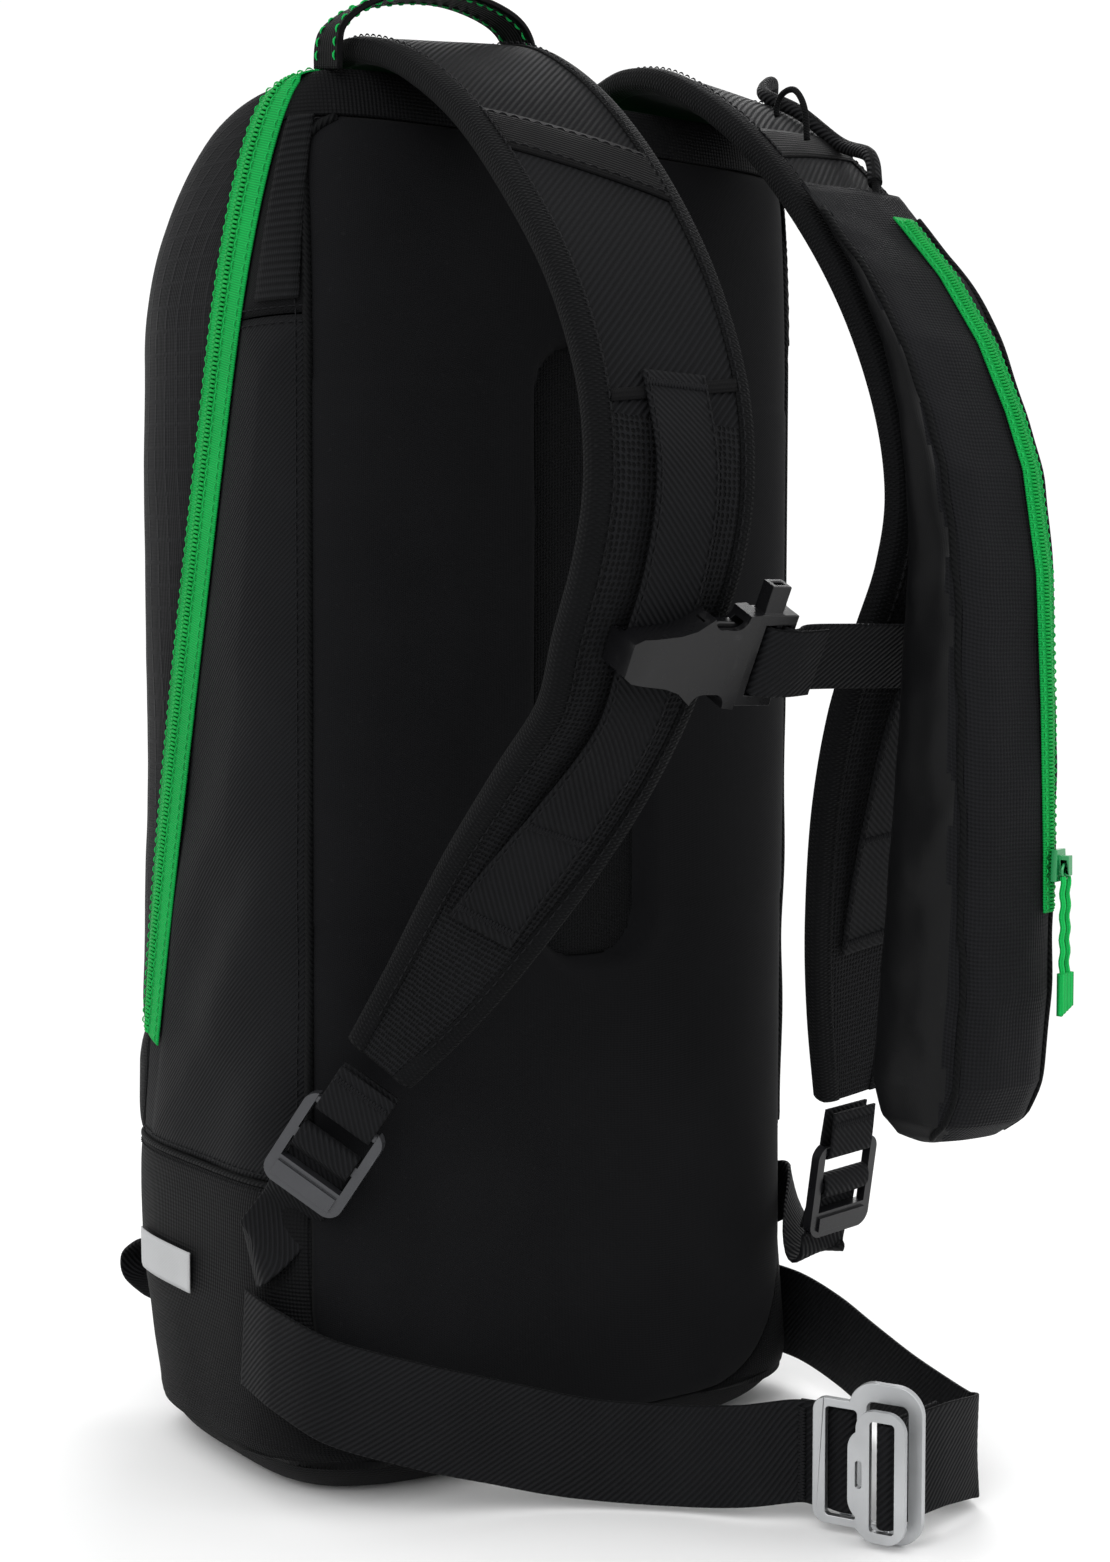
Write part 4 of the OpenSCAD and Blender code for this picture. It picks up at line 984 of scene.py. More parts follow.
for side, tag in ((-1, "left"), (1, "right")):
    pts = catmull([(side * 96, 89, 67), (side * 99, 96, 65), (side * 101, 105, 58), (side * 101.5, 103, 50),
                   (side * 99, 92, 45), (side * 96, 82.5, 43)], 8)
    obj = webbing("ski_loop_webbing_" + tag, pts, (1, 0, 0), 20, 1.4, None, 2.6)
    if side < 0:
        place(obj, "pack", "web_black", "ski_loops")
    else:
        place(obj, "pack", "web_black")


# ---------------------------------------------------------------- shoulder straps

STRAP_TOP = [
    ((62, -52, 539), 1.06, (1, 0, -0.05)), ((61, -72, 539.5), 1.06, (1, 0, -0.09)),
    ((60, -100, 530.5), 1.04, (1, 0, -0.14)), ((60, -135, 508), 1.00, (1, 0.04, -0.14)),
    ((61, -168, 477), 1.00, (1, 0.06, -0.10)), ((62, -196, 442), 1.00, (1, 0.04, -0.04)),
    ((63, -214, 406), 1.00, (1, 0.02, 0)), ((64.5, -220, 374), 1.00, (1, 0, 0)),
    ((65, -215, 348), 1.00, (1, 0, 0)), ((65, -203, 324), 0.98, (1, 0, 0)),
    ((65, -189, 297), 0.94, (1, 0, 0)),
]
STRAP_END = {
    -1: [((71, -168, 267), 0.86, (1, 0.20, 0.15)), ((80, -144, 234), 0.74, (0.8, 0.35, 0.28)),
         ((90, -120, 200), 0.60, (0.7, 0.50, 0.42)), ((101, -98, 171), 0.44, (0.6, 0.58, 0.53))],
    1: [((69, -173, 261), 0.86, (1, 0, 0)), ((77, -157, 220), 0.76, (1, 0, 0)),
        ((87, -142, 181), 0.62, (1, -0.05, 0)), ((97, -128, 144), 0.44, (1, -0.10, 0))],
}


class Strap:
    """A shoulder strap's centre surface. u runs from 0 to 14, one step to each named point."""

    def __init__(self, side):
        rows = STRAP_TOP + STRAP_END[side]
        self.points = catmull([np.array(r[0]) * [side, 1, 1] for r in rows], 12)
        self.half = catmull([(r[1] * 33, 0, 0) for r in rows], 12)[:, 0]
        dirs = catmull([np.array(r[2]) * ([1, 1, 1] if side > 0 else [1, -1, -1]) for r in rows], 12)
        self.t, self.w, self.n = frames(self.points, dirs)
        self.u = np.arange(len(self.points)) / 12

    def at(self, u, across, lift):
        """Points at u along, a distance across, lifted off the centre surface."""
        u, across, lift = np.broadcast_arrays(np.asarray(u, float), across, lift)
        out = [sampled(u, self.u, v) for v in (self.points, self.w, self.n)]
        return out[0] + out[1] * across[..., None] + out[2] * lift[..., None]

    def normal(self, u):
        return unit(sampled(u, self.u, self.n))

    def width_dir(self, u):
        return unit(sampled(u, self.u, self.w))

    def along(self, u):
        return unit(sampled(u, self.u, self.t))

    def half_at(self, u):
        return np.interp(u, self.u, self.half)


PAD_EDGE = 3.3
PAD_CROWN = 4.7


def pad_height(x, half):
    """The pad's face over its centre surface: thin at the bound edges, full in the middle."""
    return PAD_EDGE + (PAD_CROWN - PAD_EDGE) * np.sqrt(np.clip(1 - (np.abs(x) / half) ** 3, 0, 1))


def strap_pad(strap, name, cover_until):
    """The padded body of a strap, its face in two cloths, spacer mesh towards the wearer."""
    us = np.arange(0, 14.0001, 1 / 14)
    share = np.linspace(-1, 1, 25)
    rows = []
    for u in us:
        half = strap.half_at(u) - 0.8
        x = share * half
        swell = 0.22 * wrinkle(strap.at(u, x, 0), 30, 71)
        face = strap.at(u, x, pad_height(x, half) + swell)
        under = strap.at(u, x[::-1], -pad_height(x[::-1], half) + swell[::-1])
        rows.append(np.concatenate([face, under]))
    grid = np.array(rows)
    count = grid.shape[1]
    faces = prism_faces(len(us), count, 0)
    run = lengths(strap.at(us, 0, 0)) * MM
    across = np.concatenate([share, share[::-1]]) * 0.033
    uvs = np.stack(np.meshgrid(across, run), axis=2).reshape(-1, 2)
    obj = new_object(name, grid.reshape(-1, 3) * MM, faces, None, uvs=uvs)
    for key in ("cover", "mesh", "softshell"):
        obj.data.materials.append(M[key])
    fix_normals(obj)
    index = []
    for i in range(len(us) - 1):
        for j in range(count):
            index.append((0 if us[i] < cover_until else 1) if j < 24 else 2)
    index += [0, 1]
    obj.data.polygons.foreach_set("material_index", index)
    return obj


def strap_binding(strap, name, edge):
    """Knit tape folded over one edge of the pad."""
    us = np.arange(0, 14.0001, 1 / 14)
    rings = []
    for u in us:
        half = strap.half_at(u)
        ins = half - 7.5
        outer, inner = [], []
        for x in np.linspace(ins, half - 2.2, 5):
            h = pad_height(x, half - 0.8)
            outer.append((x, h + 0.55 + 0.25 * math.sin(math.pi * (x - ins) / (half - 2.2 - ins))))
            inner.append((x, h - 0.35))
        h = outer[-1][1]
        for a in (60, 30, 0, -30, -60):
            outer.append((half - 2.2 + 2.6 * math.cos(math.radians(a)), h * math.sin(math.radians(a))))
        for x, y in reversed(outer[:5]):
            outer.append((x, -y))
        loop = outer + [(x, -y) for x, y in inner] + inner[::-1]
        rings.append([(x * edge, y) for x, y in loop])
    rings = np.array(rings)
    centre = strap.at(us, 0, 0)
    w = np.array([strap.width_dir(u) for u in us])
    n = np.array([strap.normal(u) for u in us])
    return section_sweep(name, centre * MM, w, n, rings * MM, M["binding"])


def strap_line(strap, u0, u1, across, lift, step=0.05):
    """(points, normals) along a strap, across given as a function of u."""
    us = np.arange(u0, u1, step)
    x = np.array([across(u) for u in us])
    y = pad_height(x, strap.half_at(us) - 0.8) + lift
    return strap.at(us, x, y), np.array([strap.normal(u) for u in us])


def crossing_band(strap, name, middle, slope, width, inset=6.5):
    """Smooth webbing sewn across the pad's face at a slant."""
    rows = []
    for share in np.linspace(-1, 1, 30):
        row = []
        for v in np.linspace(-0.5, 0.5, 9):
            u = middle + slope * share + v * width
            x = share * (strap.half_at(u) - inset)
            y = pad_height(x, strap.half_at(u) - 0.8) + 0.75 + 0.35 * (1 - abs(2 * v) ** 4)
            row.append(strap.at(u, x, y))
        rows.append(row)
    grid = np.array(rows)
    n = np.broadcast_to(strap.normal(middle), grid.shape)
    obj = sheet_solid(name, grid * MM, 0.9 * MM, M["band"], n)
    fix_normals(obj)
    return obj, grid


RAIL_FROM = {-1: 6.0, 1: 8.0}
RAIL_TO = 37 / 3


def rail_lift(u, start):
    return 0.3 + 3.4 * smoothstep(0, 1, (u - start) / 1.0) * smoothstep(0, 1, (RAIL_TO - u) / 1.667)


for side, tag in ((-1, "left"), (1, "right")):
    strap = Strap(side)
    pad = strap_pad(strap, "shoulder_pad_" + tag, 6.4 if side < 0 else 8.0)
    place(pad, "pack", "strap_mesh", "shoulder_strap_" + tag)
    for edge in (-1, 1):
        edge_name = "inner" if edge * side < 0 else "outer"
        place(strap_binding(strap, "strap_binding_%s_%s" % (tag, edge_name), edge), "pack", "strap_mesh")
        line = strap_line(strap, 0.3, 13.6, lambda u: edge * (strap.half_at(u) - 6.3), 0.95)
        seam_thread("binding_stitch_%s_%s" % (tag, edge_name), line, "pack", "strap_mesh")
    start = RAIL_FROM[side]
    us = np.arange(start, RAIL_TO + 0.001, 0.04)
    rail = strap.at(us, 0, 5 + rail_lift(us, start) + 0.75)
    rail_obj = webbing("rail_webbing_%s" % tag, rail, np.array([strap.width_dir(u) for u in us]), 25, 1.5)
    place(rail_obj, "pack", "web_black", "rail_webbing_" + tag)
    for edge in (-1, 1):
        line = (strap.at(us, edge * 11.2, 5 + rail_lift(us, start) + 1.5),
                np.array([strap.normal(u) for u in us]))
        seam_thread("rail_stitch_%s_%d" % (tag, 1 if edge < 0 else 2), line, "pack", "web_black")
    for k, u in enumerate((start + 0.12, 11.2, 12.2)):
        lift = 5 + rail_lift(u, start) + 1.62
        bar_tack("rail_tack_%s_%d" % (tag, k + 1), strap.at(u, 0, lift), strap.along(u), strap.width_dir(u),
                 strap.normal(u), 24, 2.6, "pack", "web_black")
    if side < 0:
        obj, grid = crossing_band(strap, "crossing_band_left", 3.75, 0.28, 0.55)
        place(obj, "pack", "web_black", "lifter_band_left")
        n = np.broadcast_to(strap.normal(3.75), grid[:, 0].shape)
        seam_thread("crossing_stitch_1", (grid[:, 1] + n * 0.2, n), "pack", "web_black")
        seam_thread("crossing_stitch_2", (grid[:, -2] + n * 0.2, n), "pack", "web_black")
        obj, grid = crossing_band(strap, "face_seam_left", 6.15, -0.12, 0.12, 7.0)
        place(obj, "pack", "strap_mesh")
    else:
        obj, grid = crossing_band(strap, "crossing_band_right", 3.1, -0.2, 0.4)
        place(obj, "pack", "web_black")
STRAPS = {-1: Strap(-1), 1: Strap(1)}

key = catmull([(58, -128, 521.6), (57, -128.5, 525), (57, -132, 529.5), (57, -139, 529.5), (57, -144.5, 522),
               (58, -145, 510)], 8)
obj = tube("key_cord_loop", resample(key * MM, 0.0012), 1.2 * MM, M["cord"], 12)
place(obj, "key_cord", "cord_black", "key_loop")


# ---------------------------------------------------------------- ladder locks and adjusters

def lock_frame(at, width, run):
    """Rows that take a lock's own X, Y and Z to the bag's."""
    d = unit(np.array(run, float))
    w = np.array(width, float)
    w = unit(w - np.dot(w, d) * d)
    n = np.cross(w, -d)
    return np.array(at, float), w, -d, n


def from_lock(lock, p):
    p = np.asarray(p, float)
    return lock[0] + p[..., 0:1] * lock[1] + p[..., 1:2] * lock[2] + p[..., 2:3] * lock[3]


LOCKS = {
    -1: lock_frame((-110, -88.5, 149), (0.607, -0.587, -0.536), (-0.29, 0.50, -0.82)),
    1: lock_frame((102, -121.5, 119), (1, 0.10, 0), (0.04, 0.22, -1)),
}
ADJUSTERS = {
    -1: ([(-126.4, -44, 92), (-127.4, -52, 96), (-127.6, -58, 100), (-126.4, -63, 104)],
         [(0, -0.56, -0.83), (0.1, -0.56, -0.82), (0.3, -0.57, -0.76), (0.45, -0.58, -0.68)]),
    1: ([(127, -42, 80), (127.4, -60, 85), (125, -78, 92), (118, -93, 96), (110, -103, 95)],
        [(0, -0.3, -0.95), (0.08, -0.25, -0.95), (0.3, -0.1, -0.93), (0.45, 0.05, -0.9), (0.5, 0.1, -0.9)]),
}
for side, tag in ((-1, "left"), (1, "right")):
    lock = LOCKS[side]
    bend = [(17, -2.3), (8, -2.7), (2, -2.85)]
    bend += [(2.85 * math.sin(math.radians(a)), -2.85 * math.cos(math.radians(a)))
             for a in (-20, -50, -90, -130, -160)]
    bend += [(2, 2.85), (8, 2.7), (17, 2.3)]
    loop = from_lock(lock, [(0, y, z) for y, z in catmull([(y, z, 0) for y, z in bend], 5)[:, :2]])
    obj = webbing("lock_loop_webbing_" + tag, loop, lock[1], 24, 1.3)
    place(obj, "pack", "web_black", "buckle_loop_" + tag)
    bar_tack("lock_loop_tack_" + tag, from_lock(lock, (0, 12, 3.2)), -lock[2], lock[1], lock[3], 22, 2.4,
             "pack", "web_black")
    route, dirs = ADJUSTERS[side]
    through = [(-50, -9.0), (-40, -5.2), (-30, -3.6), (-20, -2.9), (-11.5, -1.6), (-10.4, 1.4), (-13, 3.1),
               (-17, 3.1), (-19.4, 1.2), (-21, -1.0), (-25, -4.9), (-36, -7.4)]
    ends = [route[0], route[1]] + [tuple(from_lock(lock, (0, y, z))) for y, z in through]
    turn = [np.array(dirs[0]), np.array(dirs[1])] + [lock[1]] * len(through)
    pts = catmull(ends, 8)
    widths = unit(catmull(turn, 8))
    obj = webbing("adjuster_webbing_" + tag, pts, widths, 25, 1.4)
    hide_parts("adjuster_webbing_" + tag)
    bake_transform(obj)


# ---------------------------------------------------------------- chest strap

CHEST_TILT = math.radians(117.4)


def from_chest(p):
    """The chest strap's own frame: X across, Y up along the strap, Z outwards."""
    p = np.asarray(p, float)
    c, s = math.cos(CHEST_TILT), math.sin(CHEST_TILT)
    y, z = p[..., 1], p[..., 2]
    return np.stack([p[..., 0], -203 + y * c - z * s, 324 + y * s + z * c], axis=-1)


CHEST_UP = np.array([0, math.cos(CHEST_TILT), math.sin(CHEST_TILT)])
route = [(69, 15.9), (40, 15.9), (10, 16.0), (-8, 16.8), (-14, 19.6), (-17.5, 20.4), (-19.6, 18.6),
         (-20.4, 15.4), (-22, 11.2), (-24.2, 11.4), (-25.6, 14.6), (-26.6, 19.2), (-22, 21.2),
         (-12, 21.6), (-2, 20.2)]
pts = catmull([from_chest((x, 0, z)) for x, z in route], 8)
obj = webbing("chest_webbing", pts, CHEST_UP, 25, 1.4)
place(obj, "chest_male", "web_black", "chest_webbing")
CHEST_OUT = np.array([0, -math.sin(CHEST_TILT), math.cos(CHEST_TILT)])
bar_tack("chest_tack", from_chest((61, 0, 16.8)), np.array([1.0, 0, 0]), CHEST_UP, CHEST_OUT, 23, 3.0,
         "chest_male", "web_black")
for node, body, radius in (
        ("chest_clip", "pack", 1.5), ("chest_buckle_male", "chest_male", 0.9),
        ("chest_prong_upper", "prong_upper", 0.7), ("chest_prong_lower", "prong_lower", 0.7),
        ("chest_anchor", "pack", 0.5)):
    obj = rounded_copy(node, radius * MM, M["gloss_black"])
    place(obj, body, "gloss_black")


# ---------------------------------------------------------------- hard pieces with rounded edges

for node, body, radius, look, finish in (
        ("ladder_lock_left", "lock_left", 0.9, "lock_grey", "lock_grey"),
        ("ladder_lock_right", "lock_right", 0.9, "lock_black", "lock_black"),
        ("belt_hook_plate", "belt", 0.7, "plate", "plate_alloy"),
        ("belt_release_plate", "release", 0.7, "plate", "plate_alloy"),
        ("belt_slide_bar_left", "belt", 0.6, "bar", "bar_steel"),
        ("belt_slide_bar_right", "release", 0.3, "bar", "bar_steel"),
        ("main_zip_slider", "main_slider", 0.5, "slider", "slider_green"),
        ("pocket_zip_slider", "pocket_slider", 0.5, "slider", "slider_green"),
        ("inflator_head", "pack", 1.6, "head", "head_plastic"),
        ("trigger_handle", "handle", 2.2, "red", "handle_red"),
        ("piercing_plunger", "plunger", 0.5, "bar", "bar_steel"),
        ("frame_sheet", "pack", 0.5, "sheet", "sheet_plastic"),
        ("frame_stay", "pack", 0.5, "stay", "stay_alloy"),
        ("gas_cylinder", "pack", 0.6, "cylinder", "cylinder_paint"),
        ("base_patch", "pack", 0.35, "base", "base_patch")):
    place(rounded_copy(node, radius * MM, M[look]), body, finish)


# ---------------------------------------------------------------- zip pulls

def pull_pieces(prefix, node, body, eye, down, across, out, length):
    """A cord-cored webbing pull: a wire eye, two cords and a woven tab cut at a slant."""
    eye, down, across, out = (np.asarray(v, float) for v in (eye, down, across, out))
    ring = [eye + across * 2.6 * math.cos(a) + down * (2.2 + 2.6 * math.sin(a))
            for a in np.linspace(0, 2 * math.pi, 25)]
    wire = tube(prefix + "_ring", np.array(ring) * MM, 0.55 * MM, M["slider"], 8)
    place(wire, body, "slider_green", node)
    for k, s in enumerate((-1, 1)):
        line = [eye + across * s * 1.9 + down * (4.0 + v) + out * 0.3 * math.sin(v * 0.8)
                for v in np.linspace(0, length - 4, 30)]
        place(tube("%s_cord_%d" % (prefix, k + 1), np.array(line) * MM, 1.0 * MM, M["tape_plain"], 10), body,
              "pull_cord")
    rows = []
    for v in np.linspace(0, 1, 16):
        row = []
        for x in np.linspace(-4.4, 4.4, 12):
            end = length + 5.6 - 3.0 * (x + 4.4) / 8.8
            y = length - 9 + (end - length + 9) * v
            row.append(eye + across * x + down * y + out * (1.35 + 0.15 * math.sin(x * 3)))
        rows.append(row)
    grid = np.array(rows)
    cloth(prefix + "_tab", grid, 2.3, M["tape_plain"], np.broadcast_to(out, grid.shape), body, "pull_cord")


lean = math.atan(0.27)
main_eye = (130.1, 46.754, 183.503)
pull_pieces("main_pull", "main_zip_pull", "main_pull", main_eye, (0, math.sin(lean), -math.cos(lean)),
            (0, math.cos(lean), math.sin(lean)), (1, 0, 0), 30)
turn = math.radians(17)
pull_pieces("pocket_pull", "pocket_zip_pull", "pocket_pull", (68.065, -269.179, 245.698), (0, 0, -1),
            (math.cos(turn), math.sin(turn), 0), (math.sin(turn), -math.cos(turn), 0), 46)


# ---------------------------------------------------------------- strap pocket

POCKET = [
    (146, -223, -232, 0.34), (149, -218, -246, 0.66), (156, -213, -256, 0.88), (170, -210, -262, 1),
    (200, -213, -265, 1), (250, -218, -265, 1), (300, -223.5, -264, 1), (345, -227.5, -262, 1),
    (380, -227.5, -256, 1), (400, -224.5, -248, 1), (425, -216.5, -235, 0.98), (450, -203, -216.5, 0.95),
    (470, -187.5, -197, 0.93), (485, -175, -181, 0.9),
]


def pocket_point(z, q, rows=np.array(POCKET)):
    back_, front_, share = (np.interp(z, rows[:, 0], rows[:, k]) for k in (1, 2, 3))
    c, s = np.cos(np.radians(q)), np.sin(np.radians(q))
    x = 50 + 26 * share * np.sign(c) * np.abs(c) ** (2 / 3)
    y = (back_ + front_) / 2 + (back_ - front_) / 2 * np.sign(s) * np.abs(s) ** (2 / 3)
    return np.stack([x, y, np.broadcast_to(z, x.shape)], axis=-1)


def pocket_zip_x(z):
    return 61.5 + (474 - z) * 0.024


def pocket_face(z, x):
    """The pocket's front skin at a height and a place across."""
    share = np.interp(z, [r[0] for r in POCKET], [r[3] for r in POCKET])
    q = 360 - math.degrees(math.acos(min(1, abs(x - 50) / (26 * share)) ** 1.5)) if x > 50 else \
        180 + math.degrees(math.acos(min(1, abs(x - 50) / (26 * share)) ** 1.5))
    return pocket_point(z, q)


pocket_z = np.unique(np.concatenate([np.linspace(146, 170, 16), np.arange(172.5, 484, 2.5), [485]]))
pocket_rows = []
for z in pocket_z:
    ring_points = pocket_point(z, np.linspace(90, 450, 720))
    s = lengths(ring_points)
    t = np.linspace(0, s[-1], 97)
    pocket_rows.append(sampled(t, s, ring_points))
pocket = np.array(pocket_rows)
middle = np.array([50, 0, 0]) + np.array([0, 1, 0]) * np.mean(pocket[..., 1:2], axis=1, keepdims=True) \
    + np.array([0, 0, 1]) * pocket[..., 2:3]
pocket_normal = grid_normals(pocket)
if np.sum(pocket_normal * (pocket - middle)) < 0:
    pocket_normal = -pocket_normal
pocket_normal[:, 0] = pocket_normal[:, -1] = unit(pocket_normal[:, 0] + pocket_normal[:, -1])
front_facing = smoothstep(0.25, 0.8, -pocket_normal[..., 1])
side_facing = smoothstep(0.55, 0.95, np.abs(pocket_normal[..., 0]))
near_zip = np.exp(-((pocket[..., 0] - pocket_zip_x(pocket[..., 2])) / 6.5) ** 2) * front_facing
low_end = smoothstep(146, 166, pocket[..., 2])
rise = (1.5 * wrinkle(pocket, 34, 81, (1, 1, 0.8)) + 0.5 * wrinkle(pocket, 13, 82)
        + 0.15 * wrinkle(pocket, 6, 83))
puckers = np.sin(pocket[..., 2] / 7.5 + 3 * wrinkle(pocket, 40, 84)) * side_facing * 0.7
face_share = 0.35 + 0.65 * (1 - smoothstep(0.2, 0.8, pocket_normal[..., 1]))
rise = (rise * (1 - near_zip) + puckers) * low_end * face_share
pocket_skin = pocket + pocket_normal * (rise - 0.5)[..., None]
obj = sheet_solid("strap_pocket_cloth", pocket_skin * MM, 1.1 * MM, M["pocket"], pocket_normal)
obj.data.materials.append(M["coated"])
fix_normals(obj)
normals = np.array([p.normal[:] for p in obj.data.polygons])
index = np.where((normals[:, 1] < -0.45) | (normals[:, 2] < -0.8), 0, 1)
obj.data.polygons.foreach_set("material_index", index)
place(obj, "pack", "pocket_oxford", "strap_pocket")
for z_end, tag in ((0, "bottom"), (-1, "top")):
    rim = pocket_skin[z_end]
    centre_point = rim.mean(axis=0)
    way = -1 if z_end == 0 else 1
    rows = [rim + (centre_point - rim) * v + np.array([0, 0, way]) * 1.2 * math.sin(v * 1.5)
            for v in np.linspace(0, 0.98, 8)]
    grid = np.array(rows)
    cloth("strap_pocket_" + tag, grid, 0.8, M["pocket"], np.broadcast_to([0, 0, way], grid.shape), "pack",
          "pocket_oxford")

corner_line = {}
for tag, want in (("inner", -1), ("outer", 1)):
    points, outs = [], []
    for i in range(3, len(pocket_skin) - 4):
        n = pocket_normal[i]
        score = np.abs(n[:, 0] * want - 0.72) + np.abs(n[:, 1] + 0.69) + (n[:, 0] * want < 0) * 5
        j = int(np.argmin(score))
        points.append(pocket_skin[i, j])
        outs.append(n[j])
    points, outs = np.array(points), np.array(outs)
    for _ in range(4):
        points[1:-1] = (points[:-2] + points[2:] + 2 * points[1:-1]) / 4
    corner_line[tag] = (points, unit(outs))
    piping("pocket_piping_" + tag, corner_line[tag], 1.15, 0.5, "pack", "pocket_oxford")
    stitch_line = (points + np.array([-want * 2.6, 0, 0]) + outs * 0.5, unit(outs))
    seam_thread("pocket_stitch_" + tag, stitch_line, "pack", "pocket_oxford")

pz = np.arange(229, 474, 1.5)
tape_rows = np.array([[pocket_face(z, pocket_zip_x(z) + v) for v in np.linspace(-5, 5, 11)] for z in pz])
tape_normal = grid_normals(tape_rows)
if np.sum(tape_normal[..., 1]) > 0:
    tape_normal = -tape_normal
tape_grid = tape_rows + tape_normal * 1.0
cloth("pocket_zip_tape_cloth", tape_grid, 0.7, M["tape"], tape_normal, "pack", "zip_green", "pocket_zip_tape")
mid, mid_n = tape_grid[:, 5], tape_normal[:, 5]
side_way = unit(np.cross(mid_n, unit(np.gradient(mid, axis=0))))
zip_teeth("pocket_teeth_1", mid + mid_n * 0.3, mid_n, side_way, 0.1, 1.9, 1.3, 0.0, "pack")
zip_teeth("pocket_teeth_2", mid + mid_n * 0.3, mid_n, -side_way, 0.1, 1.9, 1.3, 0.5, "pack")
for k, column in enumerate((1, 9)):
    seam_thread("pocket_zip_stitch_%d" % (k + 1), (tape_grid[:, column] + tape_normal[:, column] * 0.05,
                tape_normal[:, column]), "pack", "zip_green", M["green_thread"], length=0.0022, gap=0.0009)


# ---------------------------------------------------------------- waist belt

BUCKLE_AT = np.array([24.0, -192.0, 27.0])
BUCKLE_TURN = math.radians(-64)


def from_buckle(p, dz=0.0):
    c, s = math.cos(BUCKLE_TURN), math.sin(BUCKLE_TURN)
    return BUCKLE_AT + np.array([p[0] * c - p[1] * s, p[0] * s + p[1] * c, dz])


left_fold = [(-8, 2.6), (0, 3.0), (4, 3.0), (7, 1.9), (10, 1.0), (13, 1.0), (15, 1.5), (15.7, 3.3), (15, 5.3),
             (13, 5.9), (7, 5.8), (0, 5.4), (-7, 4.9)]
left_route = [(-127.2, -40, 60), (-127.2, -64, 57), (-118, -90, 50), (-92, -107, 41), (-62, -117, 31.5),
              (-35, -129, 24), (-9, -150, 22), (8, -170, 24)] + [from_buckle(p) for p in left_fold]
right_fold = [(37, 26), (33, 8), (31, 2), (29.6, -1.6), (28.2, -3.2), (27.4, -5.0), (27.6, -7.0),
              (29.2, -8.4), (31.4, -8.1), (33, -6.2), (33.4, -2), (34.2, 3), (36, 10), (41, 26)]
right_route = [from_buckle(p) for p in right_fold] + [
    (86, -211, 24), (92, -203, 22), (96.5, -188, 22), (103, -160, 24), (112, -128, 27), (121, -97, 30),
    (127, -66, 32), (127.2, -40, 32)]
for name, route, node in (("belt_webbing_left", left_route, "belt_left"),
                          ("belt_webbing_right", right_route, "belt_right")):
    pts = catmull(route, 12)
    obj = webbing(name, pts, UP, 38, 1.4, None, 3.4, 0.0009, 0.07)
    place(obj, "belt", "web_black", node)
for name, at, along, out in (("belt_tack_left", (-127.9, -50, 59), (0, -1, -0.1), (-1, 0, 0)),
                             ("belt_tack_right", (127.9, -50, 32), (0, -1, 0), (1, 0, 0))):
    bar_tack(name, np.array(at, float), unit(np.array(along, float)), UP, np.array(out, float), 34, 3, "belt",
             "web_black")
tack_line = from_buckle((-5.5, 1.7))
bar_tack("belt_tack_buckle", tack_line, unit(from_buckle((1, 0)) - from_buckle((0, 0))), UP,
         unit(from_buckle((0, -1)) - from_buckle((0, 0))), 34, 3, "belt", "web_black")


# ---------------------------------------------------------------- inside the bag

def squared(v):
    """A cosine or sine for the outline of a rounded square."""
    return math.copysign(abs(v) ** 0.5, v)


def folded_airbag():
    """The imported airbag: a rounded bundle with the nylon laid in pleats across it."""
    rows = []
    for v in np.linspace(0, 1, 90):
        ring = []
        close = math.sqrt(max(0.0, 1 - (2 * v - 1) ** 8))
        x = -85 + 170 * v
        for q in np.linspace(0, 360, 121)[:-1]:
            c, s = math.cos(math.radians(q)), math.sin(math.radians(q))
            y = squared(c) * 37.5 * close
            z = squared(s) * 29.5 * close
            pleat = 0.9 * math.sin(q / 360 * 2 * math.pi * 11 + 1.2 * math.sin(v * 9))
            y -= math.copysign(abs(pleat + 0.9), c) * abs(c)
            z -= math.copysign(abs(pleat + 0.9), s) * abs(s)
            ring.append((x, -22 + y, 458 + z))
        rows.append(ring)
    grid = np.array(rows)
    grid[..., 0] += 0.5 * wrinkle(grid, 18, 91)
    centre = np.array([0, -22, 458])
    grid[..., 1:] -= (grid[..., 1:] - centre[1:]) / 36 * (0.6 + 0.6 * wrinkle(grid, 14, 92))[..., None]
    flat_uv = np.meshgrid(np.linspace(0, 0.22, 120), np.linspace(0, 0.17, 90))
    flat_uv = np.stack(flat_uv, axis=2).reshape(-1, 2)
    obj = new_object("airbag_bundle", grid.reshape(-1, 3) * MM, prism_faces(90, 120, 0), M["airbag"],
                     uvs=flat_uv)
    fix_normals(obj)
    return place(obj, "pack", "airbag_nylon", "airbag")


folded_airbag()
for k, x in enumerate((-48, 0, 48)):
    strap_ring = []
    for q in np.linspace(0, 360, 97):
        c, s = math.cos(math.radians(q)), math.sin(math.radians(q))
        strap_ring.append((x, -22 + squared(c) * 37.7, 458 + squared(s) * 29.7))
    obj = webbing("airbag_tie_%d" % (k + 1), strap_ring, (1, 0, 0), 8, 0.6, M["sleeve"], 1.6, 0.0015, 0.06)
    place(obj, "pack", "airbag_nylon")

throat_rows = []
for z in np.linspace(405.4, 426.6, 40):
    r = 8.4 + 0.5 * math.sin((z - 405.4) / 21.2 * math.pi * 14)
    turns = np.linspace(0, 2 * math.pi, 49)
    throat_rows.append([(74 + r * math.cos(a), -41 + r * math.sin(a), z) for a in turns])
grid = np.array(throat_rows)
cloth("airbag_throat_hose", grid, 1.1, M["airbag"], grid - [74, -41, 416], "pack", "airbag_nylon",
      "airbag_throat")

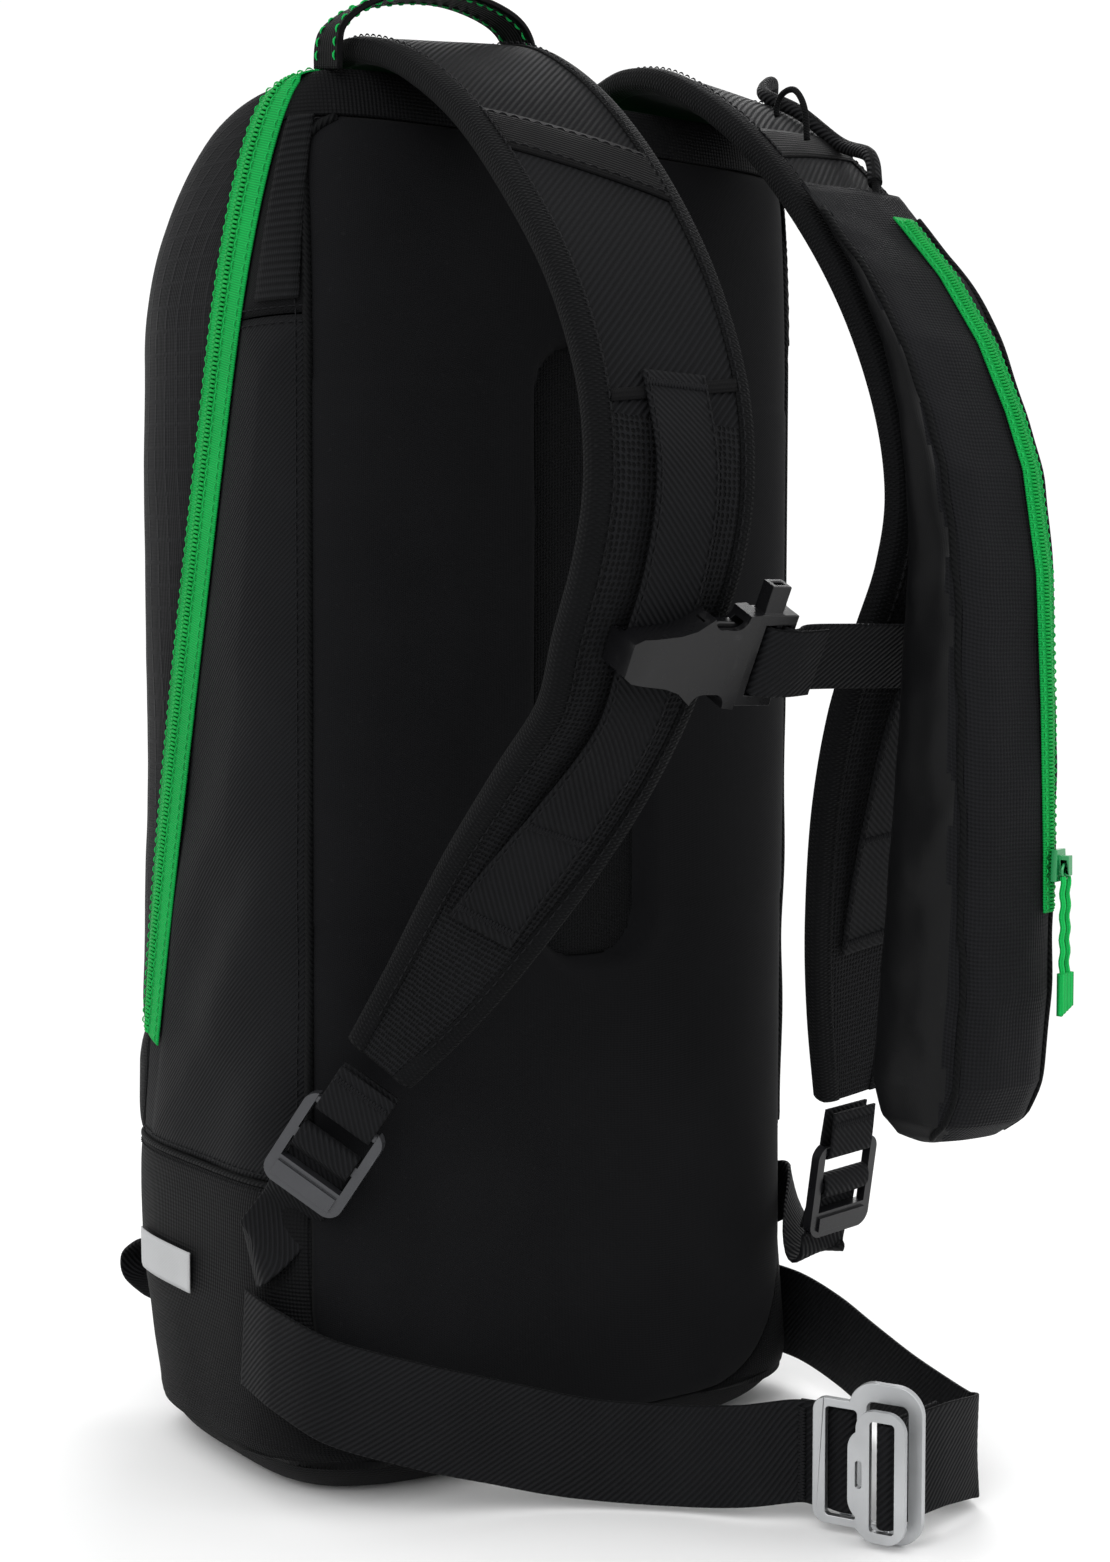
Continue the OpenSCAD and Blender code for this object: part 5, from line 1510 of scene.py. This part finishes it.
for k, z in enumerate((180, 290)):
    turns = np.linspace(0, 2 * math.pi, 73)
    ring = [(81 + 27.1 * math.cos(a), -41 + 27.1 * math.sin(a), z + 11) for a in turns]
    obj = webbing("cylinder_strap_%d" % (k + 1), ring, UP, 22, 1.4, None, 2.4)
    if k == 0:
        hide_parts("cylinder_strap")
    place(obj, "pack", "web_black")

sleeve_x = np.linspace(-97.6, 55.6, 62)
for face, y, tag in ((-1, -12.5, "back"), (1, -1.5, "front")):
    rows = []
    for z in np.linspace(14.4, 295.6, 96):
        row = []
        for x in sleeve_x:
            edge = min(x + 97.6, 55.6 - x, z - 14.4)
            row.append((x, y + face * 0.3 * (1 - math.exp(-max(edge, 0) / 10)), z))
        rows.append(row)
    grid = np.array(rows)
    ease = 1 - np.exp(-np.minimum(grid[..., 0] + 97.6, 55.6 - grid[..., 0]) / 12)
    grid[..., 1] -= face * 0.6 * np.abs(wrinkle(grid, 40, 95 + face)) * ease
    obj = cloth("tool_sleeve_" + tag, grid, 0.6, M["sleeve"], np.broadcast_to([0, face, 0], grid.shape),
                "pack", "sleeve_grey")
    if face < 0:
        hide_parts("tool_sleeve")
for x, tag in ((-97.6, "left"), (55.6, "right")):
    gusset = np.array([[(x, y, z) for y in np.linspace(-12.6, -1.4, 8)]
                       for z in np.linspace(14.4, 295.6, 60)])
    gusset[..., 0] += np.sin(np.linspace(0, math.pi, 8))[None, :] * (0.8 if x > 0 else -0.8) * -1
    outward = np.broadcast_to([np.sign(x), 0, 0], gusset.shape)
    cloth("tool_sleeve_gusset_" + tag, gusset, 0.5, M["sleeve"], outward, "pack", "sleeve_grey")
hem = [(x, y, 295.4) for x, y in [(-97.4, -12.6), (55.4, -12.6), (55.4, -1.4), (-97.4, -1.4), (-97.4, -12.4)]]
hem_points = resample(np.array(hem) * MM, 0.003)
place(tube("tool_sleeve_binding", hem_points, 0.9 * MM, M["piping"], 8), "pack", "sleeve_grey")


# ---------------------------------------------------------------- trigger cable

cable_strap = STRAPS[1]
on_strap = [cable_strap.at(i / 3, 20, 8.1) for i in (5, 7, 9)]
cable_route = [(89, -41, 417.5), (94, -40, 445), (94, -42, 480), (97, -50, 506), (103, -65, 527),
               (103, -70, 541), (98, -77, 549.5)] + [tuple(p) for p in on_strap] + [
    (73, -163, 503), (65, -175, 490), (62, -184, 470), (63, -214, 430), (60, -235, 398), (57, -243, 370),
    (56, -244, 342)]
obj = tube("trigger_cable_sheath", resample(catmull(cable_route, 10) * MM, 0.002), 1.5 * MM, M["cord"], 12)
place(obj, "pack", "cable_black", "trigger_cable")


sleeve_route = resample(catmull(cable_route[4:12], 10), 2.0)
obj = tube("cable_tunnel", sleeve_route * MM, 2.7 * MM, M["cover"], 14)
place(obj, "pack", "strap_mesh")


# ---------------------------------------------------------------- floor, light and the end

def floor_material():
    """A pale floor that fades to clear away from the object, so no horizon shows."""
    s = Shader("floor_white", Roughness=0.85, Specular_IOR_Level=0.2)
    tone = s.mix(s.ramp(s.noise(3, 2), 0.3, 0.7), (0.88, 0.88, 0.88, 1), (0.90, 0.90, 0.90, 1))
    s.bump(s.noise(300, 2), 0.00002)
    away = s.node("ShaderNodeVectorMath", {0: s.coords("Object")}, operation="LENGTH").outputs["Value"]
    clear = s.node("ShaderNodeBsdfTransparent").outputs[0]
    fade = s.ramp(away, 0.32, 0.95)
    both = s.node("ShaderNodeMixShader", {0: fade, 1: s.bsdf.outputs[0], 2: clear}).outputs[0]
    s.tree.links.new(both, s.tree.nodes["Material Output"].inputs["Surface"])
    return s.done(tone)


corners = [(-6, -6, 0), (6, -6, 0), (6, 6, 0), (-6, 6, 0)]
floor = new_object("studio_floor", corners, [[0, 1, 2, 3]], floor_material(), False)
world = bpy.data.worlds.new("studio")
world.use_nodes = True
world.node_tree.nodes["Background"].inputs[0].default_value = (1, 1, 1, 1)
world.node_tree.nodes["Background"].inputs[1].default_value = 1.05
bpy.context.scene.world = world
bpy.context.scene.view_settings.view_transform = "Standard"
add_area_light("key", (-1.7, -1.1, 1.7), (0, -0.05, 0.28), (1.5, 1.5), 26)
add_area_light("fill", (1.2, -2.0, 1.1), (0.05, -0.1, 0.25), (1.4, 1.4), 10)
add_area_light("rim", (1.0, 1.2, 1.6), (0, 0, 0.4), (0.9, 0.9), 14)
